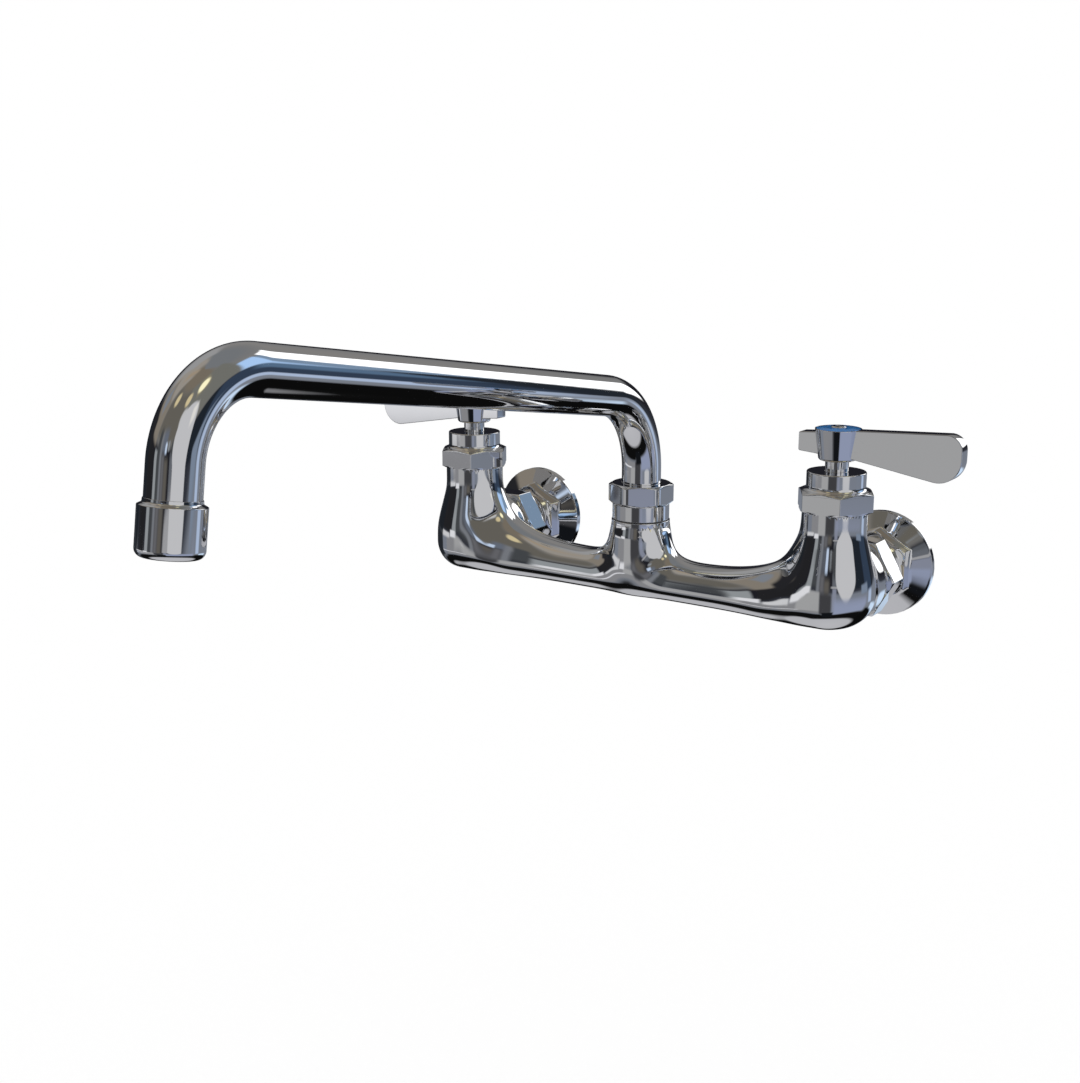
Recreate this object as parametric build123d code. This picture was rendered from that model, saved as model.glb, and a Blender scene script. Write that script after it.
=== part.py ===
# Wall-mounted two-handle mixer tap for a commercial sink, with a swinging spout.
# Millimetres. Origin on the wall plane, midway between the two inlets, at the
# height of the inlet axes. +X right as seen from the front, +Y into the wall, +Z up.
# The piece is drawn with both valves shut and the spout straight out from the wall.
from build123d import *
import os
from math import acos, cos, pi, radians, sin, sqrt, tan

os.makedirs("parts", exist_ok=True)

# ---------------------------------------------------------------- whole object
inlet_centres = 203.2        # 8 in between the two supplies
standoff = 63.0              # wall plane to the valve axes
thread_gap = 0.1             # radial room between a male and a female thread
seat_gap = 0.05              # room between flat faces that are tightened together
run_gap = 0.06               # radial room of a turning fit
slide_gap = 0.3              # room round parts that pass each other

# ------------------------------------------------------- cast body: valve bells
neck_r = 14.75               # straight neck under each bonnet
neck_top = 36.6
bell_r = 20.0                # widest part of a bell
bell_bottom = -17.4
bell_wide_z = 5.6            # where the slanting side would meet the widest part
neck_foot_z = 26.0           # where the slanting side would meet the neck
bell_top_blend = 20.0        # hollow curve between side and neck
bell_side_blend = 51.0       # full curve between side and widest part
bell_bottom_round = 16.0

# ------------------------------------------------------ cast body: bridge, boss
bridge_half_depth = 12.0
bridge_half_height = 9.9
bridge_axis_z = -8.05
bridge_bell_blend = 35.5     # hollow curve from the bridge up into a bell
bridge_root_depth = 13.5     # half depth of the bridge where it enters a bell
boss_r = 15.0
boss_mouth_r = 14.3
boss_top = 20.8
boss_taper_height = 5.0
boss_bottom = -16.6
boss_bottom_round = 12.0
boss_bridge_blend = 13.0     # hollow curve from the bridge up into the boss

# ------------------------------------------------- cast body: inlets, waterways
inlet_barrel_r = 18.2
inlet_barrel_length = 24.5   # valve axis to the shoulder
inlet_barrel_round = 4.5
inlet_barrel_dome = 12.0     # the barrel's front end, rounded inside the bell
spigot_r = 14.4              # male thread that takes the coupling nut
spigot_length = 6.0
inlet_bore_r = 7.5
feed_bore_r = 6.0            # upright bore under a valve seat
seat_z = 8.0                 # ledge that the valve seal presses on
seat_ledge = 2.2             # width of that ledge inside the valve chamber
bridge_bore_r = 5.5
gallery_r = 11.6             # ring-shaped room round a cartridge
gallery_bottom = 13.5
gallery_top = 21.0
link_bore_r = 4.0            # sloping bore from the gallery to the bridge bore

# ------------------------------------------------------------- wall connection
coupling_flats = 35.3
coupling_room = 0.6          # between the casting's shoulder and the nut
coupling_length = 12.2
coupling_web = 2.6           # inward rim that pulls on the tailpiece collar
coupling_corner_cut = 0.8
inlet_washer = 2.0
tail_r = 12.6
tail_collar_r = 13.8
tail_bore_r = 7.0
supply_thread_r = 9.7        # 1/2 in tapered pipe thread, at its pitch diameter
supply_thread_depth = 14.0
flange_r = 26.0
flange_rim = 3.1
flange_cone_angle = 30.4     # slope of the cone, from the wall plane
flange_hex_flats = 32.0
flange_depth = 14.0          # wall to the front of its hexagon
flange_recess_inner_r = 15.5
flange_recess_outer_r = 23.5
flange_recess_depth = 2.5

# --------------------------------------------------------- bonnet and cartridge
bonnet_flats = 31.75         # 1 1/4 in
bonnet_gasket = 0.6
bonnet_hex_height = 8.3      # from the gasket to the top of a corner
bonnet_chamfer_r = 15.6
bonnet_chamfer_rise = 1.4
bonnet_bottom_cut = 0.8
bonnet_flare = 2.7           # hollow curve up to the round part
bonnet_round_r = 13.4
bonnet_top = 55.1
bonnet_top_chamfer = 0.6
bonnet_thread_r = 11.9
bonnet_skirt_bottom = 28.5
cartridge_r = 9.9
cartridge_bore_r = 8.0
cartridge_bottom = 9.0
seal_height = 2.4
disc_height = 3.0
disc_gap = 0.02
port_inner_r = 2.0
port_outer_r = 6.4
port_angle = 74.0
window_height = 5.0
window_width = 9.0
valve_turn = 90.0            # quarter turn from shut to open
stop_lug_angle = 24.0
stop_lug_height = 3.6
stop_lug_reach = 1.1         # how far the lug stands out of the stem's drum
stem_r = 5.3
stem_drum_r = 7.7
stem_square = 7.0
stem_square_top = 69.5
stem_ring_section = 1.5
stem_ring_heights = (34.0, 42.0)
thrust_washer = 1.0

# ----------------------------------------------------------------------- lever
hub_bottom = 60.1
hub_top = 74.5
hub_bottom_r = 8.4
hub_top_r = 10.5
hub_bottom_round = 1.3
lever_thickness = 7.2
lever_length = 58.0          # valve axis to the end of the blade
lever_top_root = 74.1        # height of the top edge, carried on to the axis
lever_top_end = 76.8
lever_bottom_root = 62.9
lever_bottom_end = 53.1
lever_top_round = 7.0
lever_bottom_round = 10.5
lever_edge_round = 0.6
tail_length = 17.6           # short end of the lever, beyond the hub
tail_top_end = 72.0
tail_top_root = 73.2
tail_bottom_end = 63.4
tail_bottom_root = 61.8
index_recess_r = 9.9
index_recess_depth = 1.3
index_dome = 0.6
handle_screw_head_r = 3.5
handle_screw_head = 1.9
handle_screw_r = 1.95
handle_screw_length = 9.0
screw_slot_width = 0.9
screw_slot_depth = 0.8

# --------------------------------------------------------------- spout and nut
adapter_gasket = 0.5
collar_r = 13.95
collar_height = 7.4
adapter_thread_r = 11.6      # lower thread, into the boss
adapter_thread_length = 12.0
adapter_top_thread_r = 12.8  # upper thread, takes the spout nut
adapter_top = 35.5
spout_bore_r = 9.56          # bore that the spout's ferrule turns in
spout_flats = 28.575         # 1 1/8 in
spout_nut_corner_r = 15.9    # corners turned down to this radius
spout_nut_top = 38.8
spout_nut_web = 2.5
spout_nut_cut = 0.9
ferrule_bottom = 19.4
ferrule_collar_bottom = 32.4
ferrule_collar_r = 11.5
ferrule_collar_height = 2.7
ferrule_bore_r = 6.2
ferrule_socket_depth = 2.4   # how deep the tube stands in the ferrule
spout_ring_section = 1.8
spout_ring_heights = (22.6, 27.4)
tube_r = 9.58
tube_wall = 1.1
arm_height = 80.06           # where the arm's axis crosses the spout's turning axis
arm_rise = 8.6               # degrees
tip_lean = 8.8               # degrees, outwards going down
outlet_reach = 301.8         # turning axis to the middle of the outlet
outlet_z = 62.2
riser_bend = 39.9            # bend radii of the tube's axis
tip_bend = 32.1
spout_swing = 90.0           # each way from straight out

# --------------------------------------------------------------------- aerator
aerator_r = 11.57
aerator_length = 17.2        # outlet face to the shoulder
aerator_shoulder = 2.2
aerator_shoulder_r = 10.8
aerator_bottom_round = 3.0
aerator_mouth_r = 8.3
aerator_lip = 1.2
aerator_gasket = 1.5
aerator_insert_height = 6.2
aerator_plate = 1.6
aerator_hole_r = 1.3          # to the corners of a honeycomb cell
aerator_hole_pitch = 2.7
screen_thickness = 0.4
screen_hole = 1.3
screen_pitch = 2.1

# ------------------------------------------------------------ sizes that follow
half_centres = inlet_centres / 2
bridge_top = bridge_axis_z + bridge_half_height
bridge_bottom = bridge_axis_z - bridge_half_height
spigot_end = inlet_barrel_length + spigot_length
coupling_front = inlet_barrel_length + coupling_room
coupling_back = coupling_front + coupling_length
flange_hex_front = standoff - flange_depth
bonnet_bottom = neck_top + bonnet_gasket
bonnet_corner_top = bonnet_bottom + bonnet_hex_height
seal_r = cartridge_bore_r - thread_gap
fixed_disc_bottom = seat_z + seal_height
moving_disc_bottom = fixed_disc_bottom + disc_height + disc_gap
drum_bottom = moving_disc_bottom + disc_height + seat_gap
drum_top = bonnet_skirt_bottom - slide_gap
shoulder_z = drum_top + thrust_washer + seat_gap
collar_bottom = boss_top + adapter_gasket
collar_top = collar_bottom + collar_height
ferrule_collar_top = ferrule_collar_bottom + ferrule_collar_height
spout_web_bottom = spout_nut_top - spout_nut_web
tube_bore_r = tube_r - tube_wall


# ------------------------------------------------------------------ ways to draw
def outline(corners):
    """Closed flat face through (x, y) or (x, y, radius) corners; a radius rounds it."""
    edges, ends = [], []
    for i, corner in enumerate(corners):
        here = Vector(*corner[:2])
        radius = corner[2] if len(corner) > 2 else 0
        if not radius:
            ends.append((here, here))
            continue
        back = (Vector(*corners[i - 1][:2]) - here).normalized()
        ahead = (Vector(*corners[(i + 1) % len(corners)][:2]) - here).normalized()
        half_turn = acos(max(-1.0, min(1.0, back.dot(ahead)))) / 2
        start = here + back * (radius / tan(half_turn))
        end = here + ahead * (radius / tan(half_turn))
        to_centre = (back + ahead).normalized()
        middle = here + to_centre * (radius / sin(half_turn) - radius)
        edges.append(ThreePointArc(start, middle, end))
        ends.append((start, end))
    for i, (start, _) in enumerate(ends):
        last = ends[i - 1][1]
        if (start - last).length > 1e-6:
            edges.append(Line(last, start))
    return make_face(edges)


def turned(corners):
    """Solid turned about Z; corners are (radius, height) or (radius, height, rounding)."""
    return revolve(Plane.XZ * outline(corners), Axis.Z)


def turned_to_wall(corners):
    """Solid turned about the inlet's Y axis; corners are (radius, distance from valve axis)."""
    return Rot(-90, 0, 0) * turned(corners)


def rod(radius, bottom, top):
    """Round bar on the Z axis between two heights."""
    return Pos(0, 0, bottom) * Cylinder(radius, top - bottom, align=(Align.CENTER, Align.CENTER, Align.MIN))


def ring(outer, inner, bottom, top):
    """Flat-ended ring on the Z axis."""
    return rod(outer, bottom, top) - rod(inner, bottom, top)


def hex_bar(flats, bottom, top, turn=0):
    """Hexagonal bar on the Z axis; unturned, two corners lie on X and two flats face Y."""
    across_corners = flats / sqrt(3)
    face = RegularPolygon(across_corners, 6, major_radius=True, rotation=turn)
    return Pos(0, 0, bottom) * extrude(face, top - bottom)


def seal_ring(outer, section, height):
    """Rubber ring of square section, by its outer radius and the height of its middle."""
    return ring(outer, outer - section, height - section / 2, height + section / 2)


def sector(inner, outer, start, angle, bottom, top):
    """Block between two radii and two directions, on the Z axis."""
    reach = 2 * outer
    edge = [Vector(reach, 0).rotate(Axis.Z, start + angle * k / 4) for k in range(5)]
    wedge = extrude(make_face(Polyline((0, 0), *edge, close=True)), top - bottom)
    return (Pos(0, 0, bottom) * wedge) & ring(outer, inner, bottom, top)


def right_valve(shape):
    """Carry a piece drawn about its valve axis to the right-hand valve."""
    return Pos(half_centres, -standoff, 0) * shape


def save(name, shape):
    """Write one sub-part."""
    solids = list(shape.solids())
    piece = solids[0] if len(solids) == 1 else Compound(children=solids)
    piece.label = name
    export_step(piece, "parts/" + name + ".step")


def save_pair(name, shape):
    """Write a right-hand valve piece and its mirror image on the left."""
    right = right_valve(shape)
    save(name + "_right", right)
    save(name + "_left", mirror(right, about=Plane.YZ))


# -------------------------------------------------------------------- cast body
def bridge_height_at(x):
    """Top of the bridge at a distance from the middle, through both hollow curves."""
    boss_centre_x = boss_r + boss_bridge_blend
    boss_centre_z = bridge_top + boss_bridge_blend
    slope = (bell_r - neck_r) / (neck_foot_z - bell_wide_z)
    length = sqrt(1 + slope * slope)
    bell_centre_z = bridge_top + bridge_bell_blend
    wall_x = half_centres - neck_r + slope * (bell_centre_z - neck_foot_z)
    bell_centre_x = wall_x - bridge_bell_blend * length
    if x < boss_centre_x:
        return boss_centre_z - sqrt(boss_bridge_blend ** 2 - min(boss_centre_x - x, boss_bridge_blend) ** 2)
    if x > bell_centre_x:
        reach = min(x - bell_centre_x, bridge_bell_blend * 0.97)
        return bell_centre_z - sqrt(bridge_bell_blend ** 2 - reach ** 2)
    return bridge_top


def bridge():
    """Bridge in one length: oval sections on a level underside, swelling to each end."""
    inner_end = 0.6 * boss_r
    outer_end = half_centres - neck_r
    steps = 10
    reach = [inner_end + (outer_end - inner_end) * (1 - cos(pi * k / steps)) / 2 for k in range(steps + 1)]
    sections = []
    for x in [-r for r in reversed(reach)] + reach:
        top = bridge_height_at(abs(x))
        share = (abs(x) - inner_end) / (outer_end - inner_end)
        swell = (bridge_root_depth - bridge_half_depth) * max(0.0, 2 * share - 1) ** 2
        oval = Ellipse(bridge_half_depth + swell, (top - bridge_bottom) / 2)
        place = Plane(origin=(x, 0, (top + bridge_bottom) / 2), x_dir=(0, 1, 0), z_dir=(1, 0, 0))
        sections.append(place * oval)
    return loft(sections)


def valve_bell():
    """One valve end, turned about its axis: neck, slanting side, full belly, round foot."""
    return turned([(0, bell_bottom), (bell_r, bell_bottom, bell_bottom_round),
                   (bell_r, bell_wide_z, bell_side_blend), (neck_r, neck_foot_z, bell_top_blend),
                   (neck_r, neck_top), (0, neck_top)])


def valve_body():
    """Brass casting: two bells, the spout boss and the bridge, bored for the water."""
    front = -inlet_barrel_dome
    inlet = turned_to_wall([(0, front), (inlet_barrel_r, front, inlet_barrel_dome),
                            (inlet_barrel_r, inlet_barrel_length, inlet_barrel_round),
                            (spigot_r, inlet_barrel_length), (spigot_r, spigot_end), (0, spigot_end)])
    end = Pos(half_centres, 0, 0) * (valve_bell() + inlet)
    boss = turned([(0, boss_bottom), (boss_r, boss_bottom, boss_bottom_round),
                   (boss_r, boss_top - boss_taper_height), (boss_mouth_r, boss_top), (0, boss_top)])
    outside = bridge() + boss
    outside += end
    outside += mirror(end, about=Plane.YZ)

    chamber = rod(cartridge_r + slide_gap, seat_z, neck_top) + rod(bonnet_thread_r + thread_gap,
                                                                   bonnet_skirt_bottom, neck_top)
    chamber += rod(gallery_r, gallery_bottom, gallery_top)
    chamber += rod(cartridge_r + slide_gap - seat_ledge - thread_gap, 0, seat_z)
    chamber += Rot(-90, 0, 0) * rod(inlet_bore_r, 0, spigot_end)
    link_foot = half_centres - bell_r
    gallery_middle = (gallery_bottom + gallery_top) / 2
    low = Vector(-bell_r, 0, bridge_axis_z)
    high = Vector(-cartridge_r, 0, gallery_middle)
    slope = Plane(origin=low, z_dir=high - low)
    chamber += slope * Cylinder(link_bore_r, (high - low).length, align=(Align.CENTER, Align.CENTER, Align.MIN))
    chamber = Pos(half_centres, 0, 0) * chamber
    passages = Pos(0, 0, bridge_axis_z) * Rot(0, 90, 0) * Cylinder(bridge_bore_r, 2 * (link_foot + link_bore_r))
    socket_floor = collar_bottom - adapter_thread_length - seat_gap
    passages += rod(adapter_thread_r + thread_gap, socket_floor, boss_top)
    passages += rod(inlet_bore_r, bridge_axis_z, boss_top)
    outside -= passages
    outside -= chamber
    outside -= mirror(chamber, about=Plane.YZ)
    return Pos(0, -standoff, 0) * outside


# -------------------------------------------------------------- wall connection
def coupling_nut():
    """Hexagon nut that draws the tailpiece against the casting; its flats lie level."""
    back = coupling_back
    corner = coupling_flats / sqrt(3)
    cut = coupling_corner_cut
    barrel = turned([(0, coupling_front), (corner - cut, coupling_front), (corner, coupling_front + cut),
                     (corner, back - cut), (corner - cut, back), (0, back)])
    nut = hex_bar(coupling_flats, coupling_front, back) & barrel
    nut -= rod(spigot_r + thread_gap, coupling_front, back - coupling_web)
    nut -= rod(tail_r + slide_gap, coupling_front, back)
    return Rot(-90, 0, 0) * nut


def inlet_washer_ring():
    """Rubber washer between the casting's spigot and the tailpiece collar."""
    start = spigot_end + seat_gap
    return Rot(-90, 0, 0) * ring(tail_collar_r, inlet_bore_r, start, start + inlet_washer)


def inlet_tailpiece():
    """Turned tail with a collar in front and a tapered pipe thread in its wall end."""
    web_face = coupling_back - coupling_web - seat_gap
    front = spigot_end + inlet_washer + 2 * seat_gap
    tail = turned([(tail_bore_r, front), (tail_collar_r, front), (tail_collar_r, web_face),
                   (tail_r, web_face), (tail_r, standoff), (supply_thread_r, standoff),
                   (supply_thread_r, standoff - supply_thread_depth),
                   (tail_bore_r, standoff - supply_thread_depth)])
    return Rot(-90, 0, 0) * tail


def wall_flange():
    """Cone-shaped flange with a hexagon on its nose, screwed along the tail to the wall."""
    cone_slope = tan(radians(flange_cone_angle))
    rim_front = standoff - flange_rim
    hex_corner = flange_hex_flats / sqrt(3)
    cone_start = rim_front - (flange_r - tail_r) * cone_slope
    cone = turned([(0, cone_start), (tail_r, cone_start), (flange_r, rim_front), (flange_r, standoff),
                   (0, standoff)])
    cut = coupling_corner_cut
    nose = turned([(0, flange_hex_front), (hex_corner - cut, flange_hex_front),
                   (hex_corner, flange_hex_front + cut), (hex_corner, rim_front), (0, rim_front)])
    flange = cone + (hex_bar(flange_hex_flats, flange_hex_front, rim_front, turn=30) & nose)
    flange -= rod(tail_r + thread_gap, flange_hex_front, standoff)
    flange -= ring(flange_recess_outer_r, flange_recess_inner_r, standoff - flange_recess_depth, standoff)
    return Rot(-90, 0, 0) * flange


# --------------------------------------------------------- bonnet and cartridge
def bonnet():
    """Hexagon bonnet with a hollow flare up to its round top, and a threaded skirt."""
    corner = bonnet_flats / sqrt(3)
    shoulder = bonnet_corner_top + bonnet_chamfer_rise
    cut = bonnet_bottom_cut
    shape = turned([(0, bonnet_bottom), (corner - 2 * cut, bonnet_bottom), (corner, bonnet_bottom + cut),
                    (corner, bonnet_corner_top), (bonnet_chamfer_r, shoulder),
                    (bonnet_round_r, shoulder, bonnet_flare * 0.75),
                    (bonnet_round_r, bonnet_top - bonnet_top_chamfer),
                    (bonnet_round_r - bonnet_top_chamfer, bonnet_top), (0, bonnet_top)])
    shape &= hex_bar(bonnet_flats, bonnet_bottom, bonnet_top)
    shape += rod(bonnet_thread_r, bonnet_skirt_bottom, bonnet_bottom)
    shape -= rod(stem_r + run_gap, bonnet_skirt_bottom, bonnet_top)
    shape -= rod(cartridge_bore_r + thread_gap, bonnet_skirt_bottom, shoulder_z)
    return shape


def bonnet_gasket_ring():
    """Thin fibre ring under the bonnet's hexagon."""
    inner = bonnet_thread_r + slide_gap
    return ring(neck_r - slide_gap, inner, neck_top, bonnet_bottom)


def cartridge_barrel():
    """Brass sleeve round the two discs, with side windows and a notch that stops the stem."""
    top = bonnet_skirt_bottom - seat_gap
    barrel = ring(cartridge_r, cartridge_bore_r, cartridge_bottom, top)
    middle = (gallery_bottom + gallery_top) / 2
    window = Pos(0, 0, middle) * Box(3 * cartridge_r, window_width, window_height)
    barrel -= window
    clearance_angle = 2 * slide_gap / (stem_drum_r + stop_lug_reach) * 180 / pi
    notch_angle = valve_turn + stop_lug_angle + clearance_angle
    notch_start = 90 - stop_lug_angle / 2 - valve_turn - clearance_angle / 2
    notch_r = stem_drum_r + stop_lug_reach + slide_gap
    barrel -= sector(cartridge_bore_r - slide_gap, notch_r, notch_start, notch_angle,
                     top - stop_lug_height - slide_gap, top)
    return barrel


def ported(disc, turn):
    """Cut the two opposite ports of a ceramic disc."""
    low, high = disc.bounding_box().min.Z, disc.bounding_box().max.Z
    for side in (0, 180):
        disc -= sector(port_inner_r, port_outer_r, turn + side - port_angle / 2, port_angle, low, high)
    return disc


def fixed_disc():
    """Lower ceramic disc, held still by the barrel."""
    return ported(rod(cartridge_bore_r - thread_gap, fixed_disc_bottom, fixed_disc_bottom + disc_height), 0)


def moving_disc():
    """Upper ceramic disc; its ports stand across the lower ones while the valve is shut."""
    top = moving_disc_bottom + disc_height
    disc = rod(stem_drum_r, moving_disc_bottom, top)
    disc = ported(disc, 90)
    return disc - drive_tongue(seat_gap)


def drive_tongue(room):
    """Bar across the foot of the stem that turns the upper disc, with some room round it."""
    height = disc_height / 2
    size = (2 * stem_drum_r - 2, 2.4 + 2 * room, height + 2 * room)
    tongue = Box(*size, align=(Align.CENTER, Align.CENTER, Align.MAX))
    return Pos(0, 0, drum_bottom + room) * tongue


def seat_seal():
    """Rubber seal between the lower disc and the ledge in the casting."""
    return ring(seal_r, feed_bore_r - 1, seat_z, fixed_disc_bottom)


def stem():
    """Turning stem: drum with a stop lug below, round shank, square top for the lever."""
    shank = rod(stem_drum_r, drum_bottom, drum_top) + rod(stem_r, drum_top, hub_bottom)
    square = Box(stem_square, stem_square, stem_square_top - hub_bottom,
                 align=(Align.CENTER, Align.CENTER, Align.MIN))
    shank += Pos(0, 0, hub_bottom) * square & rod(stem_r - 0.6, hub_bottom, stem_square_top)
    shank += sector(stem_drum_r - 1, stem_drum_r + stop_lug_reach, 90 - stop_lug_angle / 2, stop_lug_angle,
                    drum_top - stop_lug_height, drum_top)
    shank += drive_tongue(0)
    for height in stem_ring_heights:
        groove = stem_ring_section / 2 + thread_gap
        shank -= ring(stem_r + 1, stem_r - stem_ring_section - seat_gap, height - groove, height + groove)
    shank -= rod(handle_screw_r + seat_gap, stem_square_top - handle_screw_length, stem_square_top)
    return shank


def stem_rings():
    """Two rubber rings on the shank."""
    outer = stem_r + run_gap / 2
    rings = [seal_ring(outer, stem_ring_section, height) for height in stem_ring_heights]
    return Compound(children=rings)


def stem_thrust_washer():
    """Slippery washer between the drum and the bonnet."""
    return ring(cartridge_bore_r - thread_gap, stem_r + thread_gap, drum_top, drum_top + thrust_washer)


# ----------------------------------------------------------------------- lever
def lever():
    """One casting: cone-shaped hub, blade that widens to a rounded end, and short tail."""
    hub = turned([(0, hub_bottom), (hub_bottom_r, hub_bottom, hub_bottom_round), (hub_top_r, hub_top),
                  (0, hub_top)])
    side = outline([(0, lever_top_root), (lever_length, lever_top_end, lever_top_round),
                    (lever_length, lever_bottom_end, lever_bottom_round), (0, lever_bottom_root),
                    (0, tail_bottom_root), (-tail_length, tail_bottom_end, 2 * lever_edge_round),
                    (-tail_length, tail_top_end, 2 * lever_edge_round), (0, tail_top_root)])
    blade = extrude(Plane.XZ * side, lever_thickness / 2, both=True)
    faces = blade.faces().sort_by(Axis.Y)
    rims = faces[0].edges() + faces[-1].edges()
    blade = chamfer(rims, lever_edge_round)
    shape = hub + blade
    shape -= rod(index_recess_r, hub_top - index_recess_depth, hub_top + 1)
    shape -= rod(handle_screw_r + thread_gap, hub_bottom, hub_top)
    socket = stem_square + 2 * seat_gap
    broach = Box(socket, socket, stem_square_top + seat_gap - hub_bottom,
                 align=(Align.CENTER, Align.CENTER, Align.MIN))
    shape -= Pos(0, 0, hub_bottom) * broach & rod(stem_r - 0.6 + seat_gap, hub_bottom, stem_square_top + seat_gap)
    return shape


def index_ring():
    """Coloured plastic ring let into the top of the hub, slightly domed."""
    bottom = hub_top - index_recess_depth
    outer = index_recess_r - seat_gap
    inner = handle_screw_head_r + seat_gap
    section = make_face([Line((inner, bottom), (outer, bottom)), Line((outer, bottom), (outer, hub_top)),
                         ThreePointArc((outer, hub_top), ((outer + inner) / 2, hub_top + index_dome * 0.8),
                                       (inner, hub_top + index_dome)),
                         Line((inner, hub_top + index_dome), (inner, bottom))])
    return revolve(Plane.XZ * section, Axis.Z)


def handle_screw():
    """Slotted screw that holds the lever and its ring on the stem."""
    seat = hub_top - index_recess_depth
    top = seat + handle_screw_head
    rim = screw_slot_depth / 2
    screw = turned([(0, seat), (handle_screw_head_r, seat), (handle_screw_head_r, top - rim),
                    (handle_screw_head_r - rim, top), (0, top)])
    screw += rod(handle_screw_r, stem_square_top - handle_screw_length + 1, seat)
    slot = Box(3 * handle_screw_head_r, screw_slot_width, 2 * screw_slot_depth)
    return screw - Pos(0, 0, top) * slot


# ------------------------------------------------------------- spout connection
def spout_adapter():
    """Screwed adapter: thread into the boss, plain collar, and a thread for the spout nut."""
    bottom = collar_bottom - adapter_thread_length
    counterbore = ferrule_collar_r + slide_gap
    adapter = rod(adapter_thread_r, bottom, collar_bottom)
    adapter += rod(collar_r, collar_bottom, collar_top)
    adapter += rod(adapter_top_thread_r, collar_top, adapter_top)
    adapter -= rod(inlet_bore_r, bottom, adapter_top)
    adapter -= rod(spout_bore_r, ferrule_bottom - slide_gap, adapter_top)
    adapter -= rod(counterbore, ferrule_collar_bottom - seat_gap, adapter_top)
    return adapter


def adapter_gasket_ring():
    """Dark ring in the joint between boss and collar."""
    return ring(boss_mouth_r - 2 * slide_gap, adapter_thread_r + thread_gap, boss_top, collar_bottom)


def spout_nut():
    """Hexagon nut with turned-down corners that keeps the spout in its socket."""
    bottom = collar_top + seat_gap
    cut = spout_nut_cut
    barrel = turned([(0, bottom), (spout_nut_corner_r - 2 * cut, bottom), (spout_nut_corner_r, bottom + cut),
                     (spout_nut_corner_r, spout_nut_top - cut), (spout_nut_corner_r - 2 * cut, spout_nut_top),
                     (0, spout_nut_top)])
    nut = hex_bar(spout_flats, bottom, spout_nut_top, turn=30) & barrel
    nut -= rod(adapter_top_thread_r + thread_gap, bottom, spout_web_bottom)
    nut -= rod(tube_r + slide_gap, bottom, spout_nut_top)
    return nut


def spout_ferrule():
    """Ferrule brazed to the foot of the tube: grooved plug below, collar above."""
    plug_r = spout_bore_r - run_gap
    socket = ferrule_collar_top - ferrule_socket_depth
    ferrule = rod(plug_r, ferrule_bottom, ferrule_collar_bottom)
    ferrule += rod(ferrule_collar_r, ferrule_collar_bottom, ferrule_collar_top)
    ferrule -= rod(ferrule_bore_r, ferrule_bottom, ferrule_collar_top)
    ferrule -= rod(tube_r + seat_gap, socket, ferrule_collar_top)
    for height in spout_ring_heights:
        groove = spout_ring_section / 2 + thread_gap
        ferrule -= ring(plug_r + 1, plug_r - spout_ring_section, height - groove, height + groove)
    return ferrule


def spout_rings():
    """Two rubber rings that seal the turning joint."""
    outer = spout_bore_r - run_gap / 2
    return Compound(children=[seal_ring(outer, spout_ring_section, height) for height in spout_ring_heights])


def spout_washer():
    """Slippery ring between the ferrule collar and the nut's web."""
    return ring(ferrule_collar_r, tube_r + seat_gap, ferrule_collar_top, spout_web_bottom - seat_gap)


# ----------------------------------------------------------------- spout, outlet
def spout_path():
    """Axis of the tube: upright riser, rising arm, and tip leg leaning outwards."""
    rise, lean = tan(radians(arm_rise)), tan(radians(tip_lean))
    far = (outlet_reach - lean * (arm_height - outlet_z)) / (1 + rise * lean)
    foot = (0, 0, ferrule_collar_top - ferrule_socket_depth)
    tube_end = aerator_lip + aerator_insert_height + aerator_gasket
    tip = (0, -outlet_reach + tube_end * sin(radians(tip_lean)), outlet_z + tube_end * cos(radians(tip_lean)))
    corners = [foot, (0, 0, arm_height), (0, -far, arm_height + far * rise), tip]
    return FilletPolyline(*corners, radius=[riser_bend, tip_bend])


def spout_tube():
    """Bent and plated tube."""
    path = spout_path()
    start = Plane(origin=path @ 0, z_dir=path % 0)
    return sweep(start * (Circle(tube_r) - Circle(tube_bore_r)), path=path)


def at_outlet(shape):
    """Carry a piece drawn on the Z axis, outlet face at zero, to the leaning tip."""
    return Pos(0, -outlet_reach, outlet_z) * Rot(-tip_lean, 0, 0) * shape


def aerator_housing():
    """Plated shell over the tube's end, with a hollow shoulder and a rounded lip."""
    top = aerator_length + aerator_shoulder
    shell = turned([(aerator_mouth_r, 0), (aerator_r, 0, aerator_bottom_round), (aerator_r, aerator_length),
                    (aerator_shoulder_r, aerator_length + 0.5),
                    (tube_r + 0.5, aerator_length + 0.7, aerator_shoulder * 0.4),
                    (tube_r + 0.3, top), (tube_r + seat_gap, top), (tube_r + seat_gap, aerator_lip),
                    (aerator_mouth_r, aerator_lip)])
    return shell


def aerator_insert():
    """Plastic flow straightener: a cup with a honeycomb plate."""
    outer = tube_r - seat_gap
    top = aerator_lip + aerator_insert_height
    cup = ring(outer, outer - 1.2, aerator_lip, top)
    plate = rod(outer - 1, top - aerator_plate, top)
    rows = HexLocations(aerator_hole_pitch / sqrt(3), 7, 7)
    holes = [place for place in rows if place.position.length < outer - 1.2 - aerator_hole_r]
    cell = RegularPolygon(aerator_hole_r, 6, major_radius=True)
    cells = Sketch() + [place * cell for place in holes]
    plate -= Pos(0, 0, top - aerator_plate) * extrude(cells, aerator_plate)
    return cup + plate


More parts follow.
